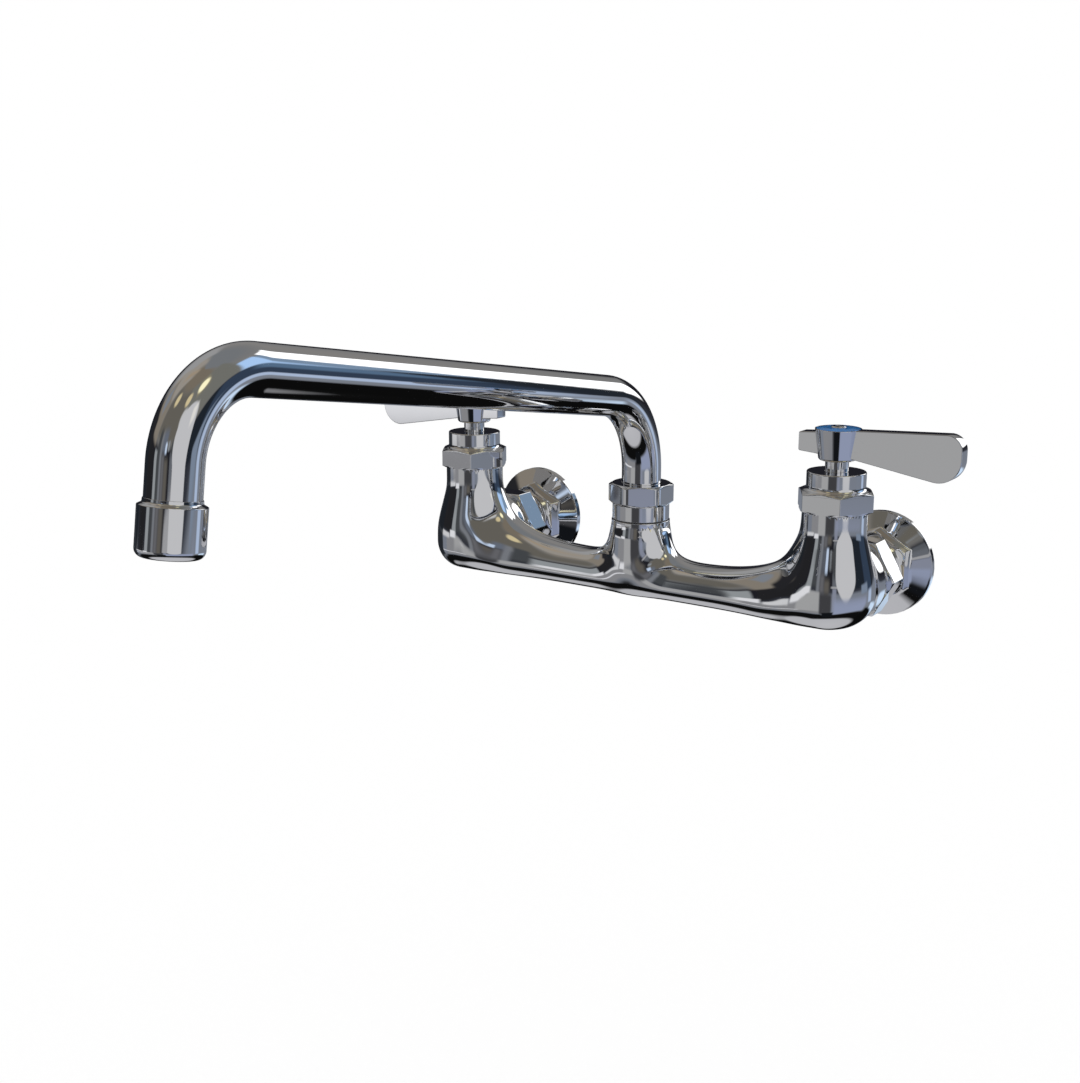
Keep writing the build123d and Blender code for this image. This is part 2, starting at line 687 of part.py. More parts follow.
def aerator_screen():
    """Wire screen inside the mouth, as a thin pierced disc."""
    outer = tube_r - 1.2 - 2 * seat_gap
    sheet = Pos(0, 0, aerator_lip) * extrude(Circle(outer), screen_thickness)
    grid = GridLocations(screen_pitch, screen_pitch, 7, 7)
    reach = outer - screen_hole
    squares = [Pos(place.position) * Rectangle(screen_hole, screen_hole)
               for place in grid if place.position.length < reach]
    holes = extrude(Sketch() + squares, screen_thickness)
    return sheet - Pos(0, 0, aerator_lip) * holes


def aerator_gasket_ring():
    """Rubber washer between the insert and the tube's end."""
    bottom = aerator_lip + aerator_insert_height
    return ring(tube_r - seat_gap, tube_bore_r - 0.8, bottom, bottom + aerator_gasket - seat_gap)


# ------------------------------------------------------------------------ build
save("valve_body", valve_body())
save_pair("inlet_coupling_nut", coupling_nut())
save_pair("inlet_washer", inlet_washer_ring())
save_pair("inlet_tailpiece", inlet_tailpiece())
save_pair("wall_flange", wall_flange())
save_pair("bonnet", bonnet())
save_pair("bonnet_gasket", bonnet_gasket_ring())
save_pair("cartridge_barrel", cartridge_barrel())
save_pair("fixed_disc", fixed_disc())
save_pair("moving_disc", moving_disc())
save_pair("seat_seal", seat_seal())
save_pair("stem", stem())
save_pair("stem_o_rings", stem_rings())
save_pair("stem_thrust_washer", stem_thrust_washer())
save_pair("lever", lever())
save_pair("index_ring", index_ring())
save_pair("handle_screw", handle_screw())

centre = Pos(0, -standoff, 0)
save("spout_adapter", centre * spout_adapter())
save("adapter_gasket", centre * adapter_gasket_ring())
save("spout_nut", centre * spout_nut())
save("spout_ferrule", centre * spout_ferrule())
save("spout_o_rings", centre * spout_rings())
save("spout_thrust_washer", centre * spout_washer())
save("spout_tube", centre * spout_tube())
save("aerator_housing", centre * at_outlet(aerator_housing()))
save("aerator_insert", centre * at_outlet(aerator_insert()))
save("aerator_screen", centre * at_outlet(aerator_screen()))
save("aerator_gasket", centre * at_outlet(aerator_gasket_ring()))
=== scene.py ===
import bpy
import numpy as np
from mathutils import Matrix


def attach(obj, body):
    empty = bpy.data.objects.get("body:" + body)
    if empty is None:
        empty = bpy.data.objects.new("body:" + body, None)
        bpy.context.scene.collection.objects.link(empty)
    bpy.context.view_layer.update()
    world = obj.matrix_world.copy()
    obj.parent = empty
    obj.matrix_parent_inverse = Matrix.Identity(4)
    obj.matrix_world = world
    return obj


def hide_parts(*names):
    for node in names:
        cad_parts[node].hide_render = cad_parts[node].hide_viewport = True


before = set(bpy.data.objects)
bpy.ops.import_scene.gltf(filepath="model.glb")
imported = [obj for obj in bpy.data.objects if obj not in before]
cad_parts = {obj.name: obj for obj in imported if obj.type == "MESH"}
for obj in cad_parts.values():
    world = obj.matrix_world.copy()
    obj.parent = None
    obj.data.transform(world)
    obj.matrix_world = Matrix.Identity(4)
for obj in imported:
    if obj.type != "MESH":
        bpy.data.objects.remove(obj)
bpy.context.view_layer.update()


# ---------------------------------------------------------------- cast valve body
# One brass casting, ground smooth by hand and bright chrome plated: a bell at each
# end, a boss for the spout in the middle, and a round bridge that flows into all
# three. Lengths are millimetres from the valve axes until a mesh is made.
INLET_X = 101.6
VALVE_Y = -63.0
UNDERSIDE, CORE_Z = -16.6, -8.0
BRIDGE_WIDEST, BRIDGE_DEEP = -9.6, 12.9
BOSS_R, BOSS_MOUTH_R, BOSS_TOP, BOSS_TAPER = 15.0, 14.3, 20.8, 3.0
TOP_BLEND, SIDE_BLEND, BOSS_BLEND, FRONT_BLEND = 45.0, 20.0, 24.0, 9.0
BELL_R, BELL_LONG, NECK_R, NECK_TOP = 20.03, 26.5, 14.75, 38.1
BRIDGE_CORNER, FRONT_CORNER, END_CORNER = 7.0, 11.0, 15.0
BARREL_R, BARREL_END, BARREL_ROUND = 18.2, 24.5, 4.5
MOUTH_FROM, MOUTH_TO, FOOT_FROM, FOOT_TO = 12.0, 19.6, -17.0, -1.0
BELL_SLOPE, BELL_SQUARE, BELL_WIDEST_Z = 0.2588, 0.968, 5.6
NECK_HOLLOW, SHOULDER_ROUND = 1.4, 2.4
BARREL_HOLLOW, BARREL_START_R, BARREL_START_ROUND = 4.0, 6.2, 12.0
CURVE_AT = (0, 22, 34, 72, 84, 90)
CURVE_R = (14.5, 14.5, 7.8, 7.8, 16.0, 16.0)
RIM_HIDES = 0.6


def turn(degrees):
    """Whole turns and parts of them, from degrees to radians."""
    return np.radians(degrees)


def ease(low, high, x):
    """0 below low, 1 above high, and the S-shaped curve 6t^5 - 15t^4 + 10t^3 between."""
    t = np.clip((x - low) / (high - low), 0.0, 1.0)
    return t * t * t * (t * (6 * t - 15) + 10)


def blend_low(a, b, width):
    """The lesser of a and b, less a sixth of width times h cubed, where h falls from 1
    to 0 as they come to differ by width: a hollow without a crease in its shine."""
    h = np.maximum(width - np.abs(a - b), 0.0) / width
    return np.minimum(a, b) - h * h * h * width / 6


def blend_high(a, b, width):
    """The greater of a and b, rounded off in the same way."""
    return -blend_low(-a, -b, width)


def bridge_quarter():
    """Upper front quarter of the bridge's outline, as direction seen from its middle,
    distance, and slant of the surface to that direction. It is laid out from its radius
    of curvature at each tilt: flat in front, tight above, almost flat along the crown."""
    tilt = turn(np.linspace(0.0, 90.0, 1801))
    radius = np.interp(tilt, turn(CURVE_AT), CURVE_R)
    step, middle = radius[1:] * np.diff(tilt), (tilt[1:] + tilt[:-1]) / 2
    y = BRIDGE_DEEP - np.concatenate([[0.0], np.cumsum(step * np.sin(middle))])
    z = np.concatenate([[0.0], np.cumsum(step * np.cos(middle))])
    seen = np.arctan2(z, y)
    return (np.append(seen, np.pi / 2), np.append(np.hypot(y, z), z[-1]),
            np.append(np.cos(tilt - seen), 1.0))


SEEN, BRIDGE_FAR, BRIDGE_SLANT = bridge_quarter()


def depth_of_body(p):
    """How far a point is outside the casting's skin, negative inside.

    Walls first: the bridge, the boss, which is a cylinder that narrows a little to its
    mouth and draws in at its foot, and the bell, a neck and a slanting side, drawn out
    towards the bridge low down. Hollow blends join them, wide over the crown and
    narrower in front.
    One rounded edge then closes them below, tight under the bridge and full at the
    ends. Last comes the barrel, a cylinder along Y with a rounded end.
    """
    x, y, z = np.abs(p[..., 0]), p[..., 1], p[..., 2]
    above = np.maximum(z - BRIDGE_WIDEST, 0.0)
    seen = np.arctan2(above, np.abs(y) + 1e-9)
    bridge = np.hypot(y, above) - np.interp(seen, SEEN, BRIDGE_FAR)
    bridge = bridge * np.interp(seen, SEEN, BRIDGE_SLANT)
    bridge = np.maximum(bridge, x - INLET_X)

    boss = np.hypot(x, y) - BOSS_R + (BOSS_R - BOSS_MOUTH_R) * ease(MOUTH_FROM, MOUTH_TO, z)
    boss = np.maximum(boss + BOSS_TAPER * (1 - ease(FOOT_FROM, FOOT_TO, z)),
                      z - BOSS_TOP + RIM_HIDES)

    dx = x - INLET_X
    long = 1 + (BELL_R / BELL_LONG - 1) * (1 - ease(-4.0, 16.0, z))
    out = np.hypot(np.where(dx < 0, dx * long, dx), y)
    side = (out - BELL_R - (BELL_WIDEST_Z - z) * BELL_SLOPE) * BELL_SQUARE
    side = blend_high(blend_low(out - NECK_R, side, NECK_HOLLOW), out - BELL_R, SHOULDER_ROUND)
    bell = np.maximum(side, z - NECK_TOP)

    inside = 1 - ease(2.0, 17.0, np.abs(y))
    wide = (SIDE_BLEND + (TOP_BLEND - SIDE_BLEND) * inside) * (1 - ease(86.0, 112.0, x)) + 0.5
    boss_wide = FRONT_BLEND + (BOSS_BLEND - FRONT_BLEND) * inside
    wall = blend_low(blend_low(bridge, boss, boss_wide), bell, wide)

    end = np.maximum(dx, 0.0) / (np.hypot(dx, y) + 1e-9)
    corner = (BRIDGE_CORNER + (FRONT_CORNER - BRIDGE_CORNER) * ease(66.0, 100.0, x)
              + (END_CORNER - FRONT_CORNER) * end * end)
    wall, below = wall + corner, UNDERSIDE + corner - z
    closed = (np.hypot(np.maximum(wall, 0.0), np.maximum(below, 0.0))
              + np.minimum(np.maximum(wall, below), 0.0) - corner)

    barrel = np.hypot(dx, z) - BARREL_R + BARREL_ROUND
    stop = y - BARREL_END + BARREL_ROUND
    barrel = (np.hypot(np.maximum(barrel, 0.0), np.maximum(stop, 0.0))
              + np.minimum(np.maximum(barrel, stop), 0.0) - BARREL_ROUND)
    start = np.hypot(np.maximum(np.hypot(dx, z) - BARREL_START_R, 0.0), np.minimum(y, 0.0))
    start = start - BARREL_START_ROUND
    return blend_low(closed, np.where(y < 0, start, barrel), BARREL_HOLLOW)


def reach(start, ray, far):
    """Point on each ray where it leaves the casting, found by halving the stretch."""
    near, far = np.zeros(ray.shape[:-1]), np.full(ray.shape[:-1], float(far))
    for _ in range(34):
        middle = (near + far) / 2
        inside = depth_of_body(start + ray * middle[..., None]) < 0
        near, far = np.where(inside, middle, near), np.where(inside, far, middle)
    return start + ray * near[..., None]


def skin(name, rings, looped=False, normals=None):
    """Closed mesh from rings of points, an array of rows by columns by XYZ in mm.

    Each row is a closed ring. Looped joins the last ring to the first, as on a piece
    with a bore; otherwise both end rings are closed with a fan to their middle. The
    signed volume, the sum of a . (b x c) / 6, says whether the faces point outwards.
    """
    rows, columns = rings.shape[:2]
    index = np.arange(rows * columns).reshape(rows, columns)
    beside = np.roll(index, -1, axis=1)
    points = rings.reshape(-1, 3)
    if looped:
        ahead = np.roll(index, -1, axis=0)
        faces = np.stack([index, beside, np.roll(beside, -1, axis=0), ahead], -1).reshape(-1, 4)
        fans = np.zeros((0, 3), int)
    else:
        faces = np.stack([index[:-1], beside[:-1], beside[1:], index[1:]], -1).reshape(-1, 4)
        points = np.vstack([points, rings[0].mean(0), rings[-1].mean(0)])
        first, last = len(points) - 2, len(points) - 1
        fans = np.vstack([np.stack([beside[0], index[0], np.full(columns, first)], -1),
                          np.stack([index[-1], beside[-1], np.full(columns, last)], -1)])
    corners = np.vstack([faces[:, :3], faces[:, [0, 2, 3]], fans])
    a, b, c = points[corners[:, 0]], points[corners[:, 1]], points[corners[:, 2]]
    if (a * np.cross(b, c)).sum() < 0:
        faces, fans = faces[:, ::-1], fans[:, ::-1]
    mesh = bpy.data.meshes.new(name)
    mesh.from_pydata((points * 0.001).tolist(), [], faces.tolist() + fans.tolist())
    mesh.shade_smooth()
    if normals is not None:
        mesh.normals_split_custom_set_from_vertices(normals.tolist())
    piece = bpy.data.objects.new(name, mesh)
    bpy.context.scene.collection.objects.link(piece)
    return piece


def cast_body_rings():
    """Rings about the X axis. Along the bridge the rays stand square to that axis; in
    each bell they fan out from one point on it, to the bell's far side."""
    cut = 80.0
    rest = np.linspace(112.0, 428.0, 195, endpoint=False)
    around = turn(np.concatenate([np.arange(68.0, 112.0), rest]))
    half_x = cut * np.sin(turn(np.linspace(0.0, 90.0, 74))) ** 0.94
    x = np.concatenate([-half_x[:0:-1], half_x])[:, None]
    ray = np.stack([0 * x + 0 * around, np.cos(around) + 0 * x, np.sin(around) + 0 * x], -1)
    foot = np.stack([x + 0 * around, 0 * x + 0 * around, CORE_Z + 0 * x + 0 * around], -1)
    bridge = reach(foot, ray, 60.0)
    middle = np.array([INLET_X, 0.0, CORE_Z])
    rim = bridge[-1] - middle
    first = np.arctan2(np.hypot(rim[:, 1], rim[:, 2]), -rim[:, 0])
    low, high = turn(68.0), turn(112.0)
    share = np.linspace(0.0, 1.0, 41)[1:, None]
    lean = np.concatenate([first + (low - first) * share, low + (high - low) * share + 0 * first,
                           high + (np.pi - high) * share[:-1] + 0 * first])
    fan = np.stack([-np.cos(lean), np.sin(lean) * np.cos(around), np.sin(lean) * np.sin(around)], -1)
    right = reach(middle, fan, 70.0)
    left = right[::-1] * np.array([-1.0, 1.0, 1.0])
    return np.concatenate([left, bridge, right])


def outward(points):
    """Skin direction at each point: how depth_of_body changes over 0.04 mm each way."""
    step = 0.02 * np.eye(3)
    slope = np.stack([depth_of_body(points + s) - depth_of_body(points - s) for s in step], -1)
    return slope / np.linalg.norm(slope, axis=-1, keepdims=True)


rings = cast_body_rings()
ends = np.array([[-1.0, 0.0, 0.0], [1.0, 0.0, 0.0]])
body_normals = np.vstack([outward(rings).reshape(-1, 3), ends])
cast_body = skin("cast_body", rings + np.array([0.0, VALVE_Y, 0.0]), normals=body_normals)


class Wire:
    """A number or colour running through a material, with the operators used on it."""

    def __init__(self, nodes, socket):
        self.nodes, self.socket = nodes, socket

    def maths(self, operation, *values):
        return self.nodes.node("ShaderNodeMath", {"operation": operation}, *values)[0]

    def __add__(self, other): return self.maths("ADD", self, other)
    def __radd__(self, other): return self.maths("ADD", other, self)
    def __sub__(self, other): return self.maths("SUBTRACT", self, other)
    def __rsub__(self, other): return self.maths("SUBTRACT", other, self)
    def __mul__(self, other): return self.maths("MULTIPLY", self, other)
    def __rmul__(self, other): return self.maths("MULTIPLY", other, self)


class Nodes:
    """A node tree, built from Python expressions."""

    def __init__(self, tree):
        self.tree = tree

    def feed(self, made, sockets):
        for name, value in (sockets.items() if isinstance(sockets, dict) else enumerate(sockets)):
            key = name.replace("_", " ") if isinstance(name, str) else name
            if isinstance(value, Wire):
                self.tree.links.new(value.socket, made.inputs[key])
            elif value is not None:
                made.inputs[key].default_value = value

    def node(self, kind, settings=(), *values, **sockets):
        """Any node: its type, its settings, then its sockets by order or by name."""
        made = self.tree.nodes.new(kind)
        for name, value in dict(settings).items():
            setattr(made, name, value)
        self.feed(made, values)
        self.feed(made, sockets)
        return Outputs(self, made)

    def range(self, value, low, high, new_low, new_high, how="LINEAR"):
        """Value carried from one range to another and held inside the new one."""
        return self.node("ShaderNodeMapRange", {"interpolation_type": how},
                         value, low, high, new_low, new_high)[0]

    def mix(self, factor, first, second):
        """Colour between two colours, each a wire or numbers."""
        return self.node("ShaderNodeMix", {"data_type": "RGBA"},
                         factor, None, None, None, None, None, first, second)[2]


class Surface(Nodes):
    """A material and its node tree, with one Principled shader on its output."""

    def __init__(self, name, **constants):
        self.material = bpy.data.materials.new(name)
        self.material.use_nodes = True
        super().__init__(self.material.node_tree)
        self.shader = self.tree.nodes["Principled BSDF"]
        self.feed(self.shader, constants)
        self.place = self.node("ShaderNodeTexCoord")["Object"]

    def noise(self, scale, detail=2.0, roughness=0.5):
        """Cloudy pattern from 0 to 1 in the piece's own place; scale is per metre."""
        return self.node("ShaderNodeTexNoise", Vector=self.place, Scale=scale, Detail=detail,
                         Roughness=roughness)["Fac"]

    def relief(self, height, distance, strength=1.0):
        """Bump from a height of 0 to 1 that stands for distance, in metres."""
        made = self.node("ShaderNodeBump", Height=height, Distance=distance, Strength=strength)
        self.feed(self.shader, {"Normal": made["Normal"]})


class Outputs:
    """The outputs of one node, by name or by order."""

    def __init__(self, nodes, made):
        self.nodes, self.made = nodes, made

    def __getitem__(self, key):
        return Wire(self.nodes, self.made.outputs[key])


def chrome_plate(name, wave, tone=(0.84, 0.845, 0.86, 1.0)):
    """Bright chrome over polished brass: near mirror, with faint wiping haze in cloudy
    patches, hair-fine polishing lines, and a slow ripple of the metal below it."""
    plate = Surface(name, Base_Color=tone, Metallic=1.0)
    haze = plate.noise(55.0, 4.0, 0.6)
    specks = plate.range(plate.noise(2600.0, 1.0), 0.66, 0.74, 0.0, 1.0)
    roughness = plate.range(haze, 0.35, 0.75, 0.022, 0.055) + 0.05 * specks
    plate.feed(plate.shader, {"Roughness": roughness})
    ripple = plate.noise(48.0, 1.0) + 0.02 * plate.noise(1400.0, 2.0)
    plate.relief(ripple, wave)
    return plate.material


def finish_piece(piece, material, slot, body, *nodes):
    """Gives a made piece its material, its body and the nodes it stands for; slot is not used."""
    piece.data.materials.append(material)
    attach(piece, body)
    if nodes:
        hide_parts(*nodes)
    return piece


CAST_RIPPLE = 0.00006
cast_chrome = chrome_plate("chrome_cast", CAST_RIPPLE)
finish_piece(cast_body, cast_chrome, "chrome_plate", "base", "valve_body")


# ------------------------------------------------------------- inlet coupling nuts
# Turned and milled brass hexagons behind each bell, chrome plated. Each is screwed
# over the casting's spigot and draws the tailpiece's collar up against a washer.
COUPLING_FLATS = 35.3
COUPLING_FRONT, COUPLING_BACK = 25.1, 37.3
COUPLING_BORE_R, SPIGOT_R, COUPLING_LIP, COUPLING_CHAMFER = 12.9, 14.5, 2.6, 0.8
TURNED_RIPPLE = 0.00002
EDGE = 0.35


def rounded(corners, closed=True, step=7.0):
    """Outline through (a, b, radius) corners, each turned with its radius.

    The arc's centre lies on the corner's bisector, radius / sin(half angle) away. A
    point 0.05 mm before and after each arc keeps the flats beside it flat.
    """
    corners = [tuple(map(float, c)) + (0.15,) * (3 - len(c)) for c in corners]
    line = []
    for i, (a, b, radius) in enumerate(corners):
        here = np.array([a, b])
        if not closed and i in (0, len(corners) - 1):
            line.append(here[None])
            continue
        back = np.array(corners[i - 1][:2]) - here
        ahead = np.array(corners[(i + 1) % len(corners)][:2]) - here
        back, ahead = back / np.linalg.norm(back), ahead / np.linalg.norm(ahead)
        half = np.arccos(np.clip(back @ ahead, -1, 1)) / 2
        centre = here + (back + ahead) / np.linalg.norm(back + ahead) * radius / np.sin(half)
        start, end = here + back * radius / np.tan(half), here + ahead * radius / np.tan(half)
        swept = np.pi - 2 * half
        t = np.linspace(0, 1, max(3, int(np.ceil(np.degrees(swept) / step)) + 1))[:, None]
        u, v = start - centre, end - centre
        arc = (u * np.sin((1 - t) * swept) + v * np.sin(t * swept)) / np.sin(swept) + centre
        line.append(np.vstack([start + back * 0.05, arc, end + ahead * 0.05]))
    return np.vstack(line)


def hexagon_angles():
    """Directions round a hexagonal piece, close together beside its six corners."""
    near = np.array([0, .35, .7, 1.05, 1.4, 1.8, 2.3, 3, 4.5, 8, 14, 22])
    sector = np.concatenate([-near[:0:-1], near, [30.0]])
    return turn((np.arange(0, 360, 60)[:, None] + sector).ravel())


def hexagon(angles, flats, soft=0.018):
    """Radius of a hexagon with corners at 0, 60 ... degrees: half its flats over the
    cosine of the angle from the nearest flat, the two flats at a corner blended."""
    toward = np.cos(angles[:, None] - turn(np.arange(30, 390, 60)))
    two = np.sort(toward, axis=1)[:, -2:]
    return flats / 2 / blend_high(two[:, 0], two[:, 1], soft)


def on_inlet(radius, angle, distance, side):
    """Points about an inlet's Y axis, distance measured from the valve axis."""
    return np.stack([side * INLET_X + radius * np.cos(angle), VALVE_Y + distance + 0 * radius * angle,
                     radius * np.sin(angle)], -1)


def coupling_nut(side, label):
    """Radius at each angle is the lesser of the hexagon and the turned outline."""
    corner = COUPLING_FLATS / np.sqrt(3)
    inner, outer = corner - 1.3, corner + .3
    outline = rounded([(SPIGOT_R, COUPLING_FRONT, .2), (inner, COUPLING_FRONT, .2),
                       (outer, COUPLING_FRONT + COUPLING_CHAMFER, .2),
                       (outer, COUPLING_BACK - COUPLING_CHAMFER, .2), (inner, COUPLING_BACK, .2),
                       (COUPLING_BORE_R, COUPLING_BACK, .2),
                       (COUPLING_BORE_R, COUPLING_BACK - COUPLING_LIP, .1),
                       (SPIGOT_R, COUPLING_BACK - COUPLING_LIP, .1)])
    angles = hexagon_angles()
    radius = blend_low(hexagon(angles, COUPLING_FLATS), outline[:, :1] + 0 * angles, EDGE)
    points = on_inlet(radius, angles, outline[:, 1:], side)
    return skin("inlet_nut_" + label, points, looped=True)


turned_chrome = chrome_plate("chrome_turned", TURNED_RIPPLE)
for side, label in ((-1, "left"), (1, "right")):
    finish_piece(coupling_nut(side, label), turned_chrome, "chrome_plate", "base",
                 "inlet_coupling_nut_" + label)


# -------------------------------------------- inlet tailpieces, washers and flanges
# A turned brass tail runs from each coupling nut to the wall, with a rubber washer
# at its collar. A spun flange with a hexagon nose is screwed along it to the wall.
FLANGE_FLATS, FLANGE_R, FLANGE_FRONT, FLANGE_RIM = 32.0, 26.0, 49.0, 59.9
CONE_FROM, CONE_BEND, CONE_FROM_R, CONE_BEND_R = 49.0, 54.6, 12.0, 15.2
NOSE_END, NOSE_SOFT, FLANGE_BORE_R, FLANGE_HOLLOW = 52.0, 0.03, 12.75, 2.5
TAIL_FRONT, TAIL_COLLAR, TAIL_COLLAR_R, TAIL_R, TAIL_BORE_R, TAIL_THREAD_R = 32.6, 34.6, 13.8, 12.6, 7.0, 9.7
WALL = 63.0


def tailpiece(side, label):
    """A round outline, collar first, carried round the inlet's axis."""
    outline = rounded([(TAIL_BORE_R, TAIL_FRONT, .2), (TAIL_COLLAR_R, TAIL_FRONT, .2),
                       (TAIL_COLLAR_R, TAIL_COLLAR, .2), (TAIL_R, TAIL_COLLAR, .2), (TAIL_R, WALL, .2),
                       (TAIL_THREAD_R, WALL, .2), (TAIL_THREAD_R, 49.0, .2), (TAIL_BORE_R, 49.0, .2)])
    around = turn(np.arange(0, 360, 3.0))
    points = on_inlet(outline[:, :1], around, outline[:, 1:], side)
    return skin("inlet_tail_" + label, points, looped=True)


def flange(side, label):
    """At each distance the radius is the greater of the hexagon nose and the cone."""
    outline = rounded([(FLANGE_BORE_R, FLANGE_FRONT, .2), (17.3, FLANGE_FRONT, .3),
                       (19.2, FLANGE_FRONT + .9, .3), (19.2, 58.0, .1)], closed=False)
    nose = outline[outline[:, 1] < NOSE_END]
    slope = np.linspace(NOSE_END, FLANGE_RIM - .3, 44)[:, None]
    cone = np.interp(slope, (CONE_FROM, CONE_BEND, FLANGE_RIM), (CONE_FROM_R, CONE_BEND_R, FLANGE_R - .1))
    angles = hexagon_angles()
    flats = hexagon(angles, FLANGE_FLATS, NOSE_SOFT)
    first = blend_low(flats, nose[:, :1] + 0 * angles, EDGE)
    second = blend_high(flats + 0 * cone, cone + 0 * angles, 1.2)
    edge = rounded([(cone[-1, 0], FLANGE_RIM - .3, 0), (FLANGE_R, FLANGE_RIM, .35), (FLANGE_R, WALL, .25),
                    (23.5, WALL, .2), (23.5, WALL - FLANGE_HOLLOW, .3), (15.5, WALL - FLANGE_HOLLOW, .3),
                    (15.5, WALL, .2), (FLANGE_BORE_R, WALL, .2), (FLANGE_BORE_R, FLANGE_FRONT + 1, .2)],
                   closed=False)[1:]
    radius = np.vstack([first, second, edge[:, :1] + 0 * angles])
    distance = np.concatenate([nose[:, 1:], slope, edge[:, 1:]])
    points = on_inlet(radius, angles + turn(30), distance, side)
    return skin("wall_cone_" + label, points, looped=True)


def soft_black(name):
    """Moulded black rubber: dark, dull, with a fine even grain and paler dust."""
    rubber = Surface(name, Metallic=0.0)
    dust = rubber.range(rubber.noise(300.0, 3.0), 0.45, 0.8, 0.0, 1.0)
    colour = rubber.mix(dust, (0.022, 0.022, 0.024, 1.0), (0.060, 0.060, 0.062, 1.0))
    rubber.feed(rubber.shader, {"Base Color": colour, "Roughness": rubber.range(dust, 0, 1, 0.55, 0.8)})
    rubber.relief(rubber.noise(2500.0, 2.0), 0.00004)
    return rubber.material


def colour_nodes(material, *nodes):
    """Gives pieces that stay as they came from the solids their one material."""
    for node in nodes:
        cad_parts[node].data.materials.clear()
        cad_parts[node].data.materials.append(material)


black_rubber = soft_black("rubber_black")
for side, label in ((-1, "left"), (1, "right")):
    finish_piece(tailpiece(side, label), turned_chrome, "chrome_plate", "base",
                 "inlet_tailpiece_" + label)
    finish_piece(flange(side, label), turned_chrome, "chrome_plate", "base", "wall_flange_" + label)
    colour_nodes(black_rubber, "inlet_washer_" + label, "seat_seal_" + label, "stem_o_rings_" + label)
colour_nodes(black_rubber, "spout_o_rings", "aerator_gasket", "adapter_gasket")


# ------------------------------------------------------------- bonnets and gaskets
# A forged and turned brass bonnet closes each valve: a hexagon whose chamfer swells
# into a hollow flare and a round collar for the stem. A dark fibre ring seals it.
BONNET_FLATS = 31.75
BONNET_BOTTOM, BONNET_TOP, BONNET_R = 37.2, 55.1, 13.4
CHAMFER_FROM, CHAMFER_TO, CHAMFER_TO_R = 45.3, 46.7, 15.7
BONNET_BORE_R, BONNET_THREAD_R, BONNET_FOOT = 5.4, 11.9, 30.0


def on_valve(radius, angle, height, side):
    """Points about a valve's upright axis; side is -1, 0 or 1."""
    return np.stack([side * INLET_X + radius * np.cos(angle), VALVE_Y + radius * np.sin(angle),
                     height + 0 * radius * angle], -1)


def bonnet(side, label):
    """Lesser of the hexagon and the turned outline, which has the chamfer and flare."""
    corner = BONNET_FLATS / np.sqrt(3)
    outer = corner + .3
    lower = [(BONNET_BORE_R, BONNET_FOOT, .1), (BONNET_THREAD_R, BONNET_FOOT, .2),
             (BONNET_THREAD_R, BONNET_BOTTOM, .1), (corner - 1.7, BONNET_BOTTOM, .25),
             (outer, BONNET_BOTTOM + .9, .25), (outer, CHAMFER_FROM, .25), (CHAMFER_TO_R, CHAMFER_TO, .6)]
    upper = [(BONNET_R, 46.9, 2.1), (BONNET_R, BONNET_TOP, .5), (BONNET_BORE_R, BONNET_TOP, .3)]
    outline = rounded(lower + upper, step=5.0)
    a, b = np.array([outer, CHAMFER_FROM]), np.array([CHAMFER_TO_R, CHAMFER_TO])
    at = np.nonzero(outline[:, 0] > corner + .2)[0][-1] + 1
    outline = np.insert(outline, at, a + (b - a) * np.linspace(0.1, 0.9, 14)[:, None], axis=0)
    outline = outline[np.hypot(*(outline - np.roll(outline, 1, axis=0)).T) > 1e-4]
    angles = hexagon_angles()
    radius = blend_low(hexagon(angles, BONNET_FLATS), outline[:, :1] + 0 * angles, .3)
    points = on_valve(radius, angles, outline[:, 1:], side)
    return skin("bonnet_nut_" + label, points, looped=True)


def dark_fibre(name):
    """Pressed fibre: near black, dull, with short pale flecks in it."""
    fibre = Surface(name)
    fleck = fibre.range(fibre.noise(1800.0, 3.0, 0.7), 0.5, 0.75, 0.0, 1.0)
    colour = fibre.mix(fleck, (0.045, 0.042, 0.040, 1.0), (0.12, 0.11, 0.10, 1.0))
    fibre.feed(fibre.shader, {"Base Color": colour, "Roughness": fibre.range(fleck, 0, 1, 0.6, 0.85)})
    fibre.relief(fibre.noise(2200.0, 3.0), 0.00005)
    return fibre.material


fibre = dark_fibre("fibre_dark")
for side, label in ((-1, "left"), (1, "right")):
    finish_piece(bonnet(side, label), turned_chrome, "chrome_plate", "base", "bonnet_" + label)
    colour_nodes(fibre, "bonnet_gasket_" + label)


# ---------------------------------------------------------------- valve cartridges
# Inside each bell: a machined brass barrel, two lapped ceramic discs and a slippery
# acetal washer. Nothing of them shows, but each has its own finish.
def cut_brass(name):
    """Bare machined brass: warm yellow, with fine turning rings about the valve."""
    brass = Surface(name, Metallic=1.0)
    shade = brass.range(brass.noise(120.0, 3.0), 0.3, 0.7, 0.0, 1.0)
    colour = brass.mix(shade, (0.72, 0.53, 0.24, 1.0), (0.82, 0.64, 0.34, 1.0))
    lines = brass.node("ShaderNodeTexWave", {"wave_type": "BANDS", "bands_direction": "Z"},
                       Vector=brass.place, Scale=900.0, Distortion=0.6)
    brass.feed(brass.shader, {"Base Color": colour, "Roughness": brass.range(lines["Fac"], 0, 1, 0.22, 0.36)})
    brass.relief(lines["Fac"], 0.00001)
    return brass.material


